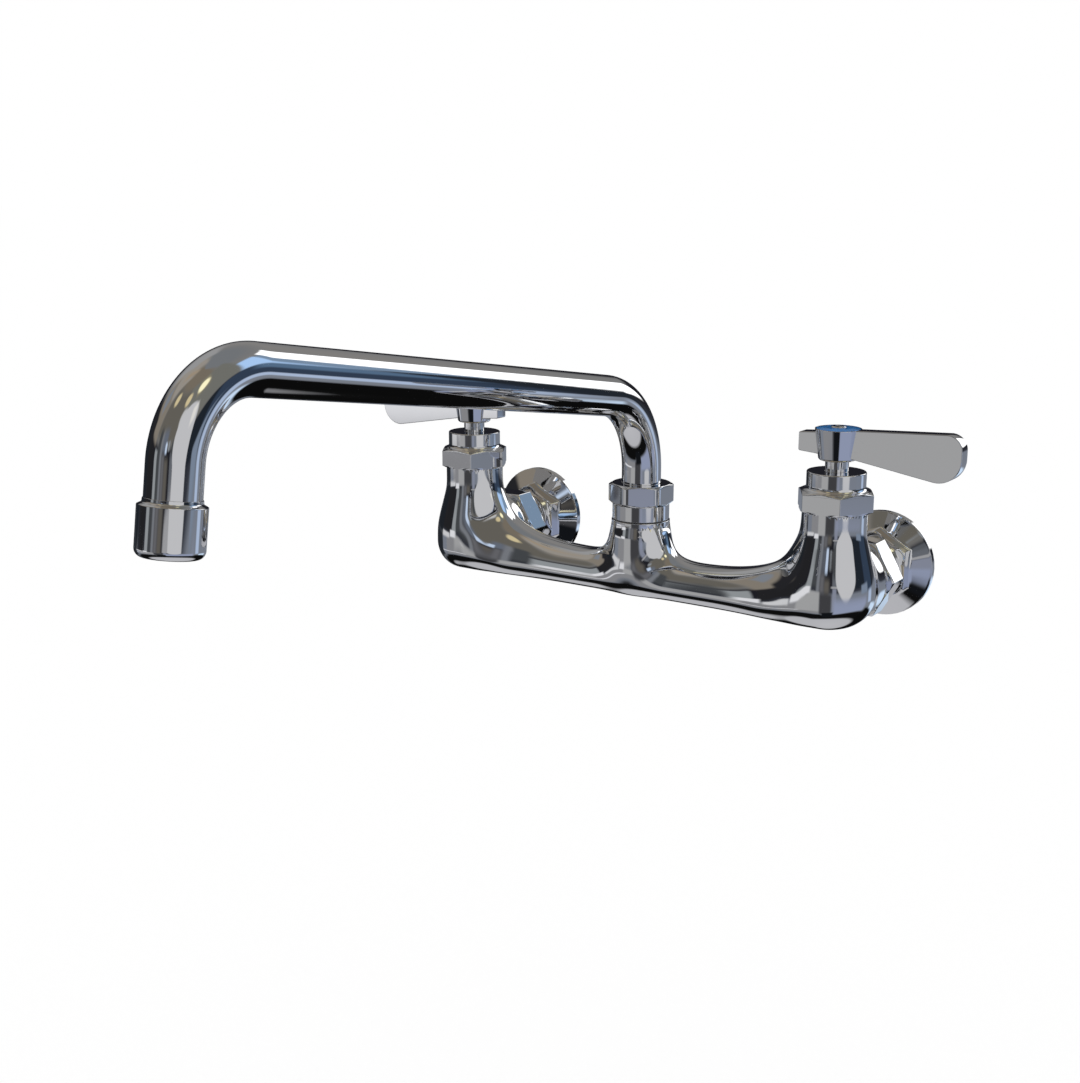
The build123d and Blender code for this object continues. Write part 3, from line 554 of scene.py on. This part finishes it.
def lapped_ceramic(name):
    """Lapped alumina: off-white, faintly mottled, smooth but not glassy."""
    ceramic = Surface(name)
    mottle = ceramic.range(ceramic.noise(900.0, 3.0), 0.35, 0.7, 0.0, 1.0)
    colour = ceramic.mix(mottle, (0.86, 0.85, 0.81, 1.0), (0.90, 0.89, 0.86, 1.0))
    ceramic.feed(ceramic.shader, {"Base Color": colour, "Roughness": ceramic.range(mottle, 0, 1, 0.18, 0.28)})
    return ceramic.material


def white_acetal(name):
    """Moulded acetal: milky white, waxy, with faint flow marks."""
    acetal = Surface(name)
    flow = acetal.range(acetal.noise(160.0, 3.0, 0.6), 0.3, 0.7, 0.0, 1.0)
    colour = acetal.mix(flow, (0.74, 0.74, 0.72, 1.0), (0.80, 0.80, 0.785, 1.0))
    acetal.feed(acetal.shader, {"Base Color": colour, "Roughness": acetal.range(flow, 0, 1, 0.34, 0.48)})
    acetal.relief(acetal.noise(1200.0, 2.0), 0.00002)
    return acetal.material


brass = cut_brass("brass_cut")
ceramic = lapped_ceramic("ceramic_lapped")
acetal = white_acetal("acetal_white")
for label in ("left", "right"):
    colour_nodes(brass, "cartridge_barrel_" + label)
    colour_nodes(ceramic, "fixed_disc_" + label, "moving_disc_" + label)
    colour_nodes(acetal, "stem_thrust_washer_" + label)


# --------------------------------------------------------------------------- stems
# The turned brass stem comes up through the bonnet, plated where it shows between
# the bonnet's collar and the lever.
def smoothed(node, name, angle=28.0):
    """Copy of a node's mesh with its loose triangles joined and its curves shaded smooth."""
    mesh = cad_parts[node].data.copy()
    mesh.name = name
    piece = bpy.data.objects.new(name, mesh)
    bpy.context.scene.collection.objects.link(piece)
    joined = piece.modifiers.new("joined", "WELD")
    joined.merge_threshold = 0.000002
    with bpy.context.temp_override(object=piece, active_object=piece, selected_objects=[piece]):
        bpy.ops.object.modifier_apply(modifier="joined")
    piece.data.materials.clear()
    piece.data.shade_smooth()
    piece.data.set_sharp_from_angle(angle=turn(angle))
    return piece


for label in ("left", "right"):
    finish_piece(smoothed("stem_" + label, "valve_stem_" + label), turned_chrome, "plated_stem",
                 label + "_handle", "stem_" + label)


# -------------------------------------------------------- levers, rings and screws
# Each lever is one casting, ground flat on its faces and chrome plated: a hub that
# tapers down to the stem, a blade that widens to a round end, and a short tail. A
# coloured ring and a slotted screw sit in the top of the hub.
HUB_BOTTOM, HUB_TOP, HUB_BOTTOM_R, HUB_TOP_R = 60.1, 74.5, 8.4, 10.5
HUB_RECESS_R, HUB_RECESS, STEM_HOLE_R = 9.95, 1.3, 5.4
BLADE_THICK, BLADE_EDGE = 7.2, 0.3
RING_BOTTOM, RING_HOLE_R, RING_R = 73.25, 3.55, 9.85
SCREW_R, SCREW_HEAD_R, SCREW_FOOT, SCREW_HEAD, SCREW_TOP = 1.95, 3.5, 64.0, 73.3, 75.6
SLOT_DEEP, SLOT_FLAT, SLOT_EDGE, SLOT_TURN = 0.8, 0.35, 0.55, 0.6


def blade(side, label):
    """The lever's side outline, shrunk towards each flat face by a quarter round.

    The inset at angle t round the rim is BLADE_EDGE * (1 - sin t), its distance from
    the middle is half the thickness - BLADE_EDGE * (1 - cos t).
    """
    outline = rounded([(6.0, 74.3, .3), (58.0, 76.8, 7.0), (58.0, 53.1, 10.5), (6.0, 61.9, .3),
                       (0.0, 61.9, .3), (-17.6, 63.4, .8), (-17.6, 72.0, .8), (0.0, 73.2, .3)], step=4.0)
    ahead = np.roll(outline, -1, axis=0) - np.roll(outline, 1, axis=0)
    inward = np.stack([ahead[:, 1], -ahead[:, 0]], -1) / np.linalg.norm(ahead, axis=1, keepdims=True)
    t = turn(np.linspace(0, 90, 7))
    inset = np.concatenate([[BLADE_EDGE + .1], BLADE_EDGE * (1 - np.sin(t))])
    face = np.concatenate([[BLADE_THICK / 2], BLADE_THICK / 2 - BLADE_EDGE * (1 - np.cos(t))])
    inset, face = np.concatenate([inset, inset[::-1]]), np.concatenate([face, -face[::-1]])
    rim = outline[None] + inward[None] * inset[:, None, None]
    depth = VALVE_Y + np.broadcast_to(face[:, None], rim.shape[:2])
    points = np.stack([side * (INLET_X + rim[..., 0]), depth, rim[..., 1]], -1)
    return skin("lever_blade_" + label, points)


def hub(side, label):
    """Turned cone with a round foot and a recess in its top."""
    outline = rounded([(STEM_HOLE_R, HUB_BOTTOM, .2), (HUB_BOTTOM_R, HUB_BOTTOM, 1.3),
                       (HUB_TOP_R, HUB_TOP, .22), (HUB_RECESS_R, HUB_TOP, .12),
                       (HUB_RECESS_R, HUB_TOP - HUB_RECESS, .1), (STEM_HOLE_R, HUB_TOP - HUB_RECESS, .1)])
    around = turn(np.arange(0, 360, 2.0))
    points = on_valve(outline[:, :1], around, outline[:, 1:], side)
    return skin("lever_hub_" + label, points, looped=True)


def colour_ring(side, label):
    """Flat underneath, with a shallow crown from the rim to the screw."""
    outline = rounded([(RING_HOLE_R, RING_BOTTOM, .1), (RING_R, RING_BOTTOM, .1), (RING_R, 74.55, .25),
                       (7.0, 75.05, 6.0), (RING_HOLE_R, 75.1, .15)])
    around = turn(np.arange(0, 360, 2.5))
    points = on_valve(outline[:, :1], around, outline[:, 1:], side)
    return skin("colour_ring_" + label, points, looped=True)


def screw(side, label):
    """Cheese head with a rounded rim. The slot takes SLOT_DEEP off the top where the
    distance across it is small, and comes up again along ease's curve."""
    outline = rounded([(0.02, SCREW_FOOT, .01), (SCREW_R, SCREW_FOOT, .3), (SCREW_R, SCREW_HEAD, .1),
                       (SCREW_HEAD_R, SCREW_HEAD, .1), (SCREW_HEAD_R, SCREW_TOP - .15, .5),
                       (0.02, SCREW_TOP, .01)], closed=False)
    around = turn(np.arange(0, 360, 3.0))
    top = outline[-1]
    rings_in = np.stack([np.linspace(3.0, 0.02, 22), np.full(22, top[1] - .02)], -1)
    outline = np.vstack([outline[:-1], rings_in])
    points = on_valve(outline[:, :1], around, outline[:, 1:], side)
    aside, beyond = points[..., 0] - side * INLET_X, points[..., 1] - VALVE_Y
    across = np.abs(aside * np.sin(SLOT_TURN) + beyond * np.cos(SLOT_TURN))
    on_top = points[..., 2] > SCREW_TOP - .7
    points[..., 2] -= SLOT_DEEP * (1 - ease(SLOT_FLAT, SLOT_EDGE, across)) * on_top
    return skin("hub_screw_" + label, points)


def index_plastic(name, deep, bright):
    """Glossy moulded plastic in the valve's colour, a little uneven in tone."""
    plastic = Surface(name, Coat_Weight=0.6, Coat_Roughness=0.06)
    cloud = plastic.range(plastic.noise(260.0, 3.0), 0.3, 0.7, 0.0, 1.0)
    colour = plastic.mix(cloud, deep, bright)
    plastic.feed(plastic.shader, {"Base Color": colour, "Roughness": plastic.range(cloud, 0, 1, 0.22, 0.34)})
    plastic.relief(plastic.noise(1500.0, 2.0), 0.00001)
    return plastic.material


cold_blue = index_plastic("plastic_blue", (0.004, 0.125, 0.38, 1.0), (0.006, 0.165, 0.46, 1.0))
hot_red = index_plastic("plastic_red", (0.46, 0.012, 0.014, 1.0), (0.55, 0.018, 0.018, 1.0))
for side, label, plastic, slot in ((-1, "left", hot_red, "hot_index"), (1, "right", cold_blue, "cold_index")):
    body = label + "_handle"
    finish_piece(blade(side, label), turned_chrome, "chrome_plate", body, "lever_" + label)
    finish_piece(hub(side, label), turned_chrome, "chrome_plate", body, "lever_" + label)
    finish_piece(colour_ring(side, label), plastic, slot, body, "index_ring_" + label)
    finish_piece(screw(side, label), turned_chrome, "steel", body, "handle_screw_" + label)


# ------------------------------------------------------------ spout adapter and nut
# A turned adapter screws into the boss on a dark gasket and shows as a plain collar.
# The hexagon nut on it, with its corners turned down, holds the spout in its socket.
SPOUT_FLATS, SPOUT_NUT_R = 28.575, 15.9
COLLAR_R, COLLAR_BOTTOM, COLLAR_TOP = 13.95, 21.3, 28.7
NUT_BOTTOM, NUT_TOP = 28.75, 38.8
LOW_THREAD_R, TOP_THREAD_R, SOCKET_R, SOCKET_FOOT, WATER_R = 11.6, 12.8, 9.56, 19.1, 7.5
ADAPTER_FOOT, ADAPTER_TOP, CUP_R, CUP_FOOT, RIM_BORE_R = 9.3, 35.5, 11.8, 32.35, 12.4


def boss_rim():
    """The boss's mouth, faced square: a turned ring with a fine edge over the end of
    the casting's skin, which stops 0.6 mm lower."""
    outline = rounded([(RIM_BORE_R, BOSS_TOP - 2.4, .1), (BOSS_MOUTH_R - .06, BOSS_TOP - 2.4, .02),
                       (BOSS_MOUTH_R + .02, BOSS_TOP - 1.1, .5), (BOSS_MOUTH_R + .02, BOSS_TOP, .3),
                       (RIM_BORE_R, BOSS_TOP, .1)])
    around = turn(np.arange(0, 360, 2.0))
    return skin("boss_rim", on_valve(outline[:, :1], around, outline[:, 1:], 0), looped=True)


def adapter():
    """Collar between two threads, with a stepped bore for the spout."""
    outline = rounded([(WATER_R, ADAPTER_FOOT, .2), (LOW_THREAD_R, ADAPTER_FOOT, .4),
                       (LOW_THREAD_R, COLLAR_BOTTOM, .1), (COLLAR_R, COLLAR_BOTTOM, .25),
                       (COLLAR_R, COLLAR_TOP, .2), (TOP_THREAD_R, COLLAR_TOP, .1),
                       (TOP_THREAD_R, ADAPTER_TOP, .3), (CUP_R, ADAPTER_TOP, .1), (CUP_R, CUP_FOOT, .1),
                       (SOCKET_R, CUP_FOOT, .1), (SOCKET_R, SOCKET_FOOT, .1), (WATER_R, SOCKET_FOOT, .1)])
    around = turn(np.arange(0, 360, 2.0))
    return skin("spout_collar", on_valve(outline[:, :1], around, outline[:, 1:], 0), looped=True)


def spout_nut():
    """Lesser of a hexagon, flats to the sides, and a round outline that cuts its
    corners. Ten points more stand along each slanting edge of that outline."""
    foot, low = (14.0, NUT_BOTTOM), (SPOUT_NUT_R, NUT_BOTTOM + 1.2)
    high, head = (SPOUT_NUT_R, NUT_TOP - .9), (14.1, NUT_TOP)
    outline = rounded([(9.9, NUT_TOP - 2.5, .1), (12.9, NUT_TOP - 2.5, .1), (12.9, NUT_BOTTOM, .1),
                       (*foot, .3), (*low, .5), (*high, .5), (*head, .4), (9.9, NUT_TOP, .3)], step=5.0)
    share = np.linspace(.2, .8, 10)[:, None]
    at = np.nonzero((outline[:, 1] < NUT_BOTTOM + .2) & (outline[:, 0] > 13.5))[0][-1] + 1
    outline = np.insert(outline, at, foot + np.subtract(low, foot) * share, axis=0)
    at = np.nonzero((outline[:, 0] > SPOUT_NUT_R - .15) & (outline[:, 1] > NUT_TOP - 1.5))[0][-1] + 1
    outline = np.insert(outline, at, high + np.subtract(head, high) * share, axis=0)
    angles = hexagon_angles()
    radius = blend_low(hexagon(angles, SPOUT_FLATS), outline[:, :1] + 0 * angles, .3)
    points = on_valve(radius, angles + turn(30), outline[:, 1:], 0)
    return skin("spout_nut_hexagon", points, looped=True)


finish_piece(boss_rim(), cast_chrome, "chrome_plate", "base", "valve_body")
finish_piece(adapter(), turned_chrome, "chrome_plate", "base", "spout_adapter")
finish_piece(spout_nut(), turned_chrome, "chrome_plate", "base", "spout_nut")


# --------------------------------------------------------------------- spout tube
# Drawn brass tube, bent twice on a mandrel and chrome plated: up from the nut, out
# along a rising arm, and down again, leaning a little outwards. A brazed ferrule at
# its foot turns in the adapter on two rubber rings.
TUBE_R, TUBE_BORE_R = 9.58, 8.48
ARM_HEIGHT, ARM_RISE, TIP_LEAN = 80.06, 8.6, 8.8
OUTLET_REACH, OUTLET_Z = 301.8, 62.2
RISER_BEND, TIP_BEND = 39.9, 32.1
TUBE_FOOT, TUBE_END = 32.7, 8.9
TUBE_RIPPLE = 0.00003


def spout_line():
    """Distance out from the wall side, height and heading along the tube's axis.

    Two corners join three straight runs; each is rounded by an arc of its bend
    radius, and the heading turns evenly along the arc.
    """
    rise, lean = np.tan(turn(ARM_RISE)), np.tan(turn(TIP_LEAN))
    far = (OUTLET_REACH - lean * (ARM_HEIGHT - OUTLET_Z)) / (1 + rise * lean)
    tip = (OUTLET_REACH - TUBE_END * np.sin(turn(TIP_LEAN)),
           OUTLET_Z + TUBE_END * np.cos(turn(TIP_LEAN)))
    corners = np.array([(0.0, TUBE_FOOT), (0.0, ARM_HEIGHT), (far, ARM_HEIGHT + far * rise), tip])
    runs = np.diff(corners, axis=0)
    lengths = np.linalg.norm(runs, axis=1)
    headings = np.arctan2(runs[:, 1], runs[:, 0])
    places, turns = [], []
    start = corners[0]
    for i, bend in ((1, RISER_BEND), (2, TIP_BEND)):
        swept = headings[i] - headings[i - 1]
        cut = bend * np.tan(abs(swept) / 2)
        stop = corners[i] - runs[i - 1] / lengths[i - 1] * cut
        straight = np.linspace(0, 1, 14)[:, None]
        straight = 0.5 - 0.5 * np.cos(np.pi * straight)
        places.append(start + (stop - start) * straight)
        turns.append(np.full(14, headings[i - 1]))
        t = np.linspace(0, 1, 72)[1:-1]
        facing = headings[i - 1] + swept * t
        sign = np.sign(swept)
        centre = stop + bend * sign * np.array([-np.sin(headings[i - 1]), np.cos(headings[i - 1])])
        places.append(centre - bend * sign * np.stack([-np.sin(facing), np.cos(facing)], -1))
        turns.append(facing)
        start = corners[i] + runs[i] / lengths[i] * cut
    straight = np.linspace(0, 1, 14)[:, None]
    places.append(start + (corners[3] - start) * straight)
    turns.append(np.full(14, headings[2]))
    return np.vstack(places), np.concatenate(turns)


def tube():
    """Circles square to the axis: out along it at the tube's radius, back at the bore's."""
    places, facing = spout_line()
    across = np.stack([-np.sin(facing), np.cos(facing)], -1)
    around = turn(np.arange(0, 360, 2.5))
    rings_out = []
    for radius in (TUBE_R, TUBE_BORE_R):
        up = radius * np.sin(around)
        out = places[:, None, 0] + across[:, None, 0] * up
        high = places[:, None, 1] + across[:, None, 1] * up
        rings_out.append(np.stack([radius * np.cos(around) + 0 * out, VALVE_Y - out, high], -1))
    return skin("spout_bent_tube", np.concatenate([rings_out[0], rings_out[1][::-1]]), looped=True)


tube_chrome = chrome_plate("chrome_tube", TUBE_RIPPLE)
finish_piece(tube(), tube_chrome, "chrome_plate", "spout", "spout_tube")
colour_nodes(brass, "spout_ferrule")
colour_nodes(acetal, "spout_thrust_washer")


# ------------------------------------------------------------------------- aerator
# A plated shell over the tube's end, with a hollow shoulder and a rounded lip. Inside
# it: a moulded honeycomb, a woven steel screen across the mouth, and a washer.
AERATOR_R, AERATOR_LONG = 11.57, 17.2
LIP_ROUND, MOUTH_R, SHELL_BORE_R, SHOULDER = 3.0, 8.3, 9.65, 2.2


def at_outlet(radius, angle, height):
    """Points about the leaning tip's axis, height measured up from the outlet face."""
    lean = turn(TIP_LEAN)
    x, y = radius * np.cos(angle), radius * np.sin(angle)
    z = height + 0 * x
    return np.stack([x, VALVE_Y - OUTLET_REACH + y * np.cos(lean) + z * np.sin(lean),
                     OUTLET_Z - y * np.sin(lean) + z * np.cos(lean)], -1)


def aerator_shell():
    """Straight side, lip rounded 3 mm, and a shoulder hollowed down to the tube."""
    outline = rounded([(MOUTH_R, 0.0, .35), (AERATOR_R, 0.0, LIP_ROUND), (AERATOR_R, AERATOR_LONG, .3),
                       (10.8, AERATOR_LONG + .45, .5), (9.95, AERATOR_LONG + .8, .8),
                       (9.85, AERATOR_LONG + SHOULDER, .1), (SHELL_BORE_R, AERATOR_LONG + SHOULDER, .1),
                       (SHELL_BORE_R, 1.2, .1), (MOUTH_R, 1.2, .2)], step=5.0)
    around = turn(np.arange(0, 360, 2.0))
    return skin("aerator_shell", at_outlet(outline[:, :1], around, outline[:, 1:]), looped=True)


def woven_steel(name):
    """Bright drawn wire, a little dulled where the mesh crosses."""
    wire = Surface(name, Metallic=1.0)
    weave = wire.range(wire.noise(3000.0, 2.0), 0.4, 0.7, 0.0, 1.0)
    colour = wire.mix(weave, (0.55, 0.55, 0.56, 1.0), (0.68, 0.68, 0.68, 1.0))
    wire.feed(wire.shader, {"Base Color": colour, "Roughness": wire.range(weave, 0, 1, 0.25, 0.45)})
    return wire.material


steel_wire = woven_steel("steel_wire")
finish_piece(aerator_shell(), turned_chrome, "chrome_plate", "spout", "aerator_housing")
finish_piece(smoothed("aerator_insert", "aerator_honeycomb"), acetal, "acetal", "spout", "aerator_insert")
finish_piece(smoothed("aerator_screen", "aerator_mesh"), steel_wire, "steel_mesh", "spout", "aerator_screen")


# --------------------------------------------------------------- camera and studio
# The camera stands to the right of the tap, a little above it. The light is the
# world's: even white for dull pieces, and for mirrors a dim room with soft panels,
# dark gaps and small lamps. There is no lamp object.
def aim(thing, place, heading, pitch):
    """Stands a thing at a place in mm, turned heading to the left and pitch down."""
    thing.location = np.array(place) * 0.001
    thing.rotation_euler = (turn(90 - pitch), 0.0, turn(heading))


lens = bpy.data.cameras.new("camera")
lens.lens, lens.sensor_width = 50.0, 36.0
lens.clip_start, lens.clip_end = 0.01, 50.0
camera = bpy.data.objects.new("camera", lens)
bpy.context.scene.collection.objects.link(camera)
aim(camera, (366.24, -688.99, 179.45), 34.25, 13.26)
bpy.context.scene.camera = camera


# Heights and tones of the room round the studio, from the floor below to the ceiling.
ROOM = (
    (-90, (0.55, 0.55, 0.57)),
    (-56, (0.51, 0.51, 0.53)),
    (-50, (0.005, 0.005, 0.005)),
    (-36, (0.005, 0.005, 0.005)),
    (-30, (0.15, 0.16, 0.18)),
    (-22, (0.22, 0.24, 0.28)),
    (-9, (0.20, 0.22, 0.26)),
    (-6, (0.038, 0.042, 0.054)),
    (2, (0.015, 0.015, 0.020)),
    (14, (0.015, 0.015, 0.020)),
    (20, (0.21, 0.21, 0.21)),
    (32, (0.25, 0.24, 0.23)),
    (48, (0.21, 0.21, 0.21)),
    (58, (0.19, 0.20, 0.21)),
    (90, (0.19, 0.20, 0.21)),
)
# Each panel: left and right edge, bottom and top edge, softness across and up, colour.
# A disc: heading and height of its middle, radius, lower limit if cut off, softness,
# the word disc, colour. Angles are degrees.
PANELS = (
    (70, 285, 60, 110, 30, 20, (0.20, 0.17, 0.13)),
    (-134, -60, 32, 75, 16, 14, (0.34, 0.31, 0.27)),
    (-115, -95, 58, 78, 14, 10, (0.37, 0.30, 0.22)),
    (-84, -50, 26, 56, 10, 10, (0.34, 0.34, 0.34)),
    (134, 224, 20, 64, 16, 12, (0.14, 0.13, 0.11)),
    (52, 136, 17, 66, 8, 8, (0.18, 0.18, 0.16)),
    (84, 108, 46, 64, 8, 10, (0.31, 0.27, 0.17)),
    (97, 54, 7, None, 4, "disc", (1.15, 1.07, 0.69)),
    (198, 56, 6, None, 4, "disc", (0.69, 0.58, 0.34)),
    (134, 53, 6, None, 4, "disc", (0.69, 0.58, 0.34)),
    (132, 35, 9, None, 5, "disc", (0.58, 0.58, 0.58)),
    (-136, -92, 14, 45, 8, 6, (0.25, 0.22, 0.18)),
    (-118, -97, 29, 41, 6, 5, (0.22, 0.24, 0.27)),
    (-134, -88, -4, 12, 6, 4, (0.018, 0.018, 0.020)),
    (-110, -84, 4, 22, 8, 6, (0.020, 0.020, 0.023)),
    (-163, -151, -2, 30, 5, 10, (0.063, 0.068, 0.073)),
    (-151, -139, -8, 13, 4, 4, (0.31, 0.33, 0.34)),
    (-172, -163, -10, 30, 6, 10, (0.20, 0.21, 0.23)),
    (-188, -171, 14, 32, 10, 10, (0.14, 0.16, 0.20)),
    (-197, -183, -12, 9, 9, 9, (0.12, 0.11, 0.096)),
    (-183, -172, -10, 13, 9, 8, (0.14, 0.14, 0.15)),
    (144, 154, -17, -1, 5, 4, (0.25, 0.27, 0.34)),
    (144, 155, 1, 14, 5, 4, (0.14, 0.15, 0.17)),
    (141, 158, -1, 2, 6, 1.5, (0.37, 0.37, 0.38)),
    (147, 153, 10, 22, 4, 8, (0.063, 0.068, 0.073)),
    (160, 165, 15, 23, 3, 3, (0.27, 0.29, 0.31)),
    (170, 177, 13, 22, 3, 4, (0.58, 0.69, 0.86)),
    (60, 93, -4, 15, 8, 3, (0.015, 0.020, 0.028)),
    (33, 62, -9, 15, 6, 4, (0.035, 0.054, 0.090)),
    (33, 46, 5, 16, 6, 6, (0.10, 0.17, 0.27)),
    (25, 35, 14, 38, 4, 6, (0.21, 0.30, 0.42)),
    (26, 33, -8, 15, 2, 3, (0.018, 0.023, 0.031)),
    (4, 26, 4, 42, 3, 3, (1.60, 1.60, 1.60)),
    (34, 52, 16, 40, 4, 5, (0.45, 0.67, 1.00)),
    (118, 14, 28, None, 3, "disc", (0.59, 0.59, 0.60)),
    (94, 104, 20, 33, 5, 6, (0.82, 0.80, 0.75)),
    (52, 74, -10, -2, 6, 3, (0.21, 0.26, 0.34)),
    (33, 47, -17, -9, 6, 4, (0.45, 0.55, 0.73)),
    (55, 150, -32, -13, 12, 6, (0.30, 0.34, 0.47)),
    (-174, -118, -26, -8, 6, 5, (0.26, 0.26, 0.27)),
    (-173, -146, -17, -7, 6, 4, (0.39, 0.39, 0.39)),
    (-150, -98, -18, -16, 8, 1.5, (0.77, 0.77, 0.80)),
    (-149, -133, -9, -2, 5, 2, (0.80, 0.80, 0.82)),
    (-130, -92, -10, -6, 6, 2, (0.66, 0.66, 0.67)),
    (-98, -82, -19, -12, 4, 3, (0.035, 0.038, 0.042)),
    (156, 187, -28, -7, 7, 8, (0.054, 0.054, 0.058)),
    (-178, -106, -51, -30, 8, 4, (0.005, 0.005, 0.005)),
    (-98, -40, -29, -8, 8, 5, (0.020, 0.023, 0.028)),
    (-100, -60, -9, 6, 6, 5, (0.015, 0.018, 0.023)),
    (-45, 48, -48, -27, 12, 4, (0.004, 0.004, 0.004)),
    (-5, 30, -27, -19, 8, 4, (0.66, 0.82, 1.02)),
    (149, 180, -44, -22, 6, 6, (0.007, 0.008, 0.010)),
)


def studio_light(nodes):
    """Colour that reaches the tap from each direction.

    The heading is the angle from the wall, the height the angle above level. The
    room's tone follows the height alone. Each panel is laid over it, in order, and
    fades at its edges along an S-shaped cubic; a disc fades with the angle from its
    middle, the arc cosine of the two directions' dot product.
    """
    toward = nodes.node("ShaderNodeTexCoord")["Generated"]
    part = nodes.node("ShaderNodeSeparateXYZ", (), toward)
    heading = nodes.node("ShaderNodeMath", {"operation": "ARCTAN2"}, part[0], part[1])[0] * (180 / np.pi)
    height = nodes.node("ShaderNodeMath", {"operation": "ARCSINE"}, part[2])[0] * (180 / np.pi)
    colour = (*ROOM[0][1], 1.0)
    for (low, _), (high, tone) in zip(ROOM, ROOM[1:]):
        colour = nodes.mix(nodes.range(height, low, high, 0.0, 1.0), colour, (*tone, 1.0))
    for a, b, c, d, soft, rise, tone in PANELS:
        if rise == "disc":
            level = np.cos(turn(b))
            middle = (np.sin(turn(a)) * level, np.cos(turn(a)) * level, np.sin(turn(b)))
            dot = nodes.node("ShaderNodeVectorMath", {"operation": "DOT_PRODUCT"}, toward, middle)["Value"]
            away = nodes.node("ShaderNodeMath", {"operation": "ARCCOSINE"}, dot)[0] * (180 / np.pi)
            cover = nodes.range(away, c - soft / 2, c + soft / 2, 1.0, 0.0, "SMOOTHSTEP")
            if d is not None:
                cover = cover * nodes.range(height, d - 2, d + 2, 0.0, 1.0, "SMOOTHSTEP")
        else:
            aside = nodes.node("ShaderNodeMath", {"operation": "WRAP"}, heading - (a + b) / 2, 180.0, -180.0)
            aside = nodes.node("ShaderNodeMath", {"operation": "ABSOLUTE"}, aside[0])[0]
            above = nodes.node("ShaderNodeMath", {"operation": "ABSOLUTE"}, height - (c + d) / 2)[0]
            cover = (nodes.range(aside, (b - a - soft) / 2, (b - a + soft) / 2, 1.0, 0.0, "SMOOTHSTEP")
                     * nodes.range(above, (d - c - rise) / 2, (d - c + rise) / 2, 1.0, 0.0, "SMOOTHSTEP"))
        colour = nodes.mix(cover, colour, (*tone, 1.0))
    return colour


world = bpy.data.worlds.new("studio")
bpy.context.scene.world = world
world.use_nodes = True
world.cycles.sampling_method = "NONE"
air = Nodes(world.node_tree)
mirrored = air.node("ShaderNodeLightPath")["Is Glossy Ray"]
light = air.mix(mirrored, (1.0, 1.0, 1.0, 1.0), studio_light(air))
air.feed(world.node_tree.nodes["Background"], {"Color": light, "Strength": 1.0})

# The floor is a plain pale sheet well below the tap, which hangs on a wall. It is left
# out of the plate's reflections, where the room's own floor is part of the studio.
FLOOR_Z, FLOOR_HALF = -0.5, 40.0
corners = [(FLOOR_HALF * a, FLOOR_HALF * b, FLOOR_Z) for a, b in ((-1, -1), (1, -1), (1, 1), (-1, 1))]
sheet = bpy.data.meshes.new("floor")
sheet.from_pydata(corners, [], [(0, 1, 2, 3)])
floor = bpy.data.objects.new("floor", sheet)
bpy.context.scene.collection.objects.link(floor)
pale = Surface("pale_floor", Base_Color=(1.0, 1.0, 1.0, 1.0), Roughness=1.0, Specular_IOR_Level=0.0)
floor.data.materials.append(pale.material)
floor.visible_glossy = False

bpy.context.scene.view_settings.view_transform = "Standard"
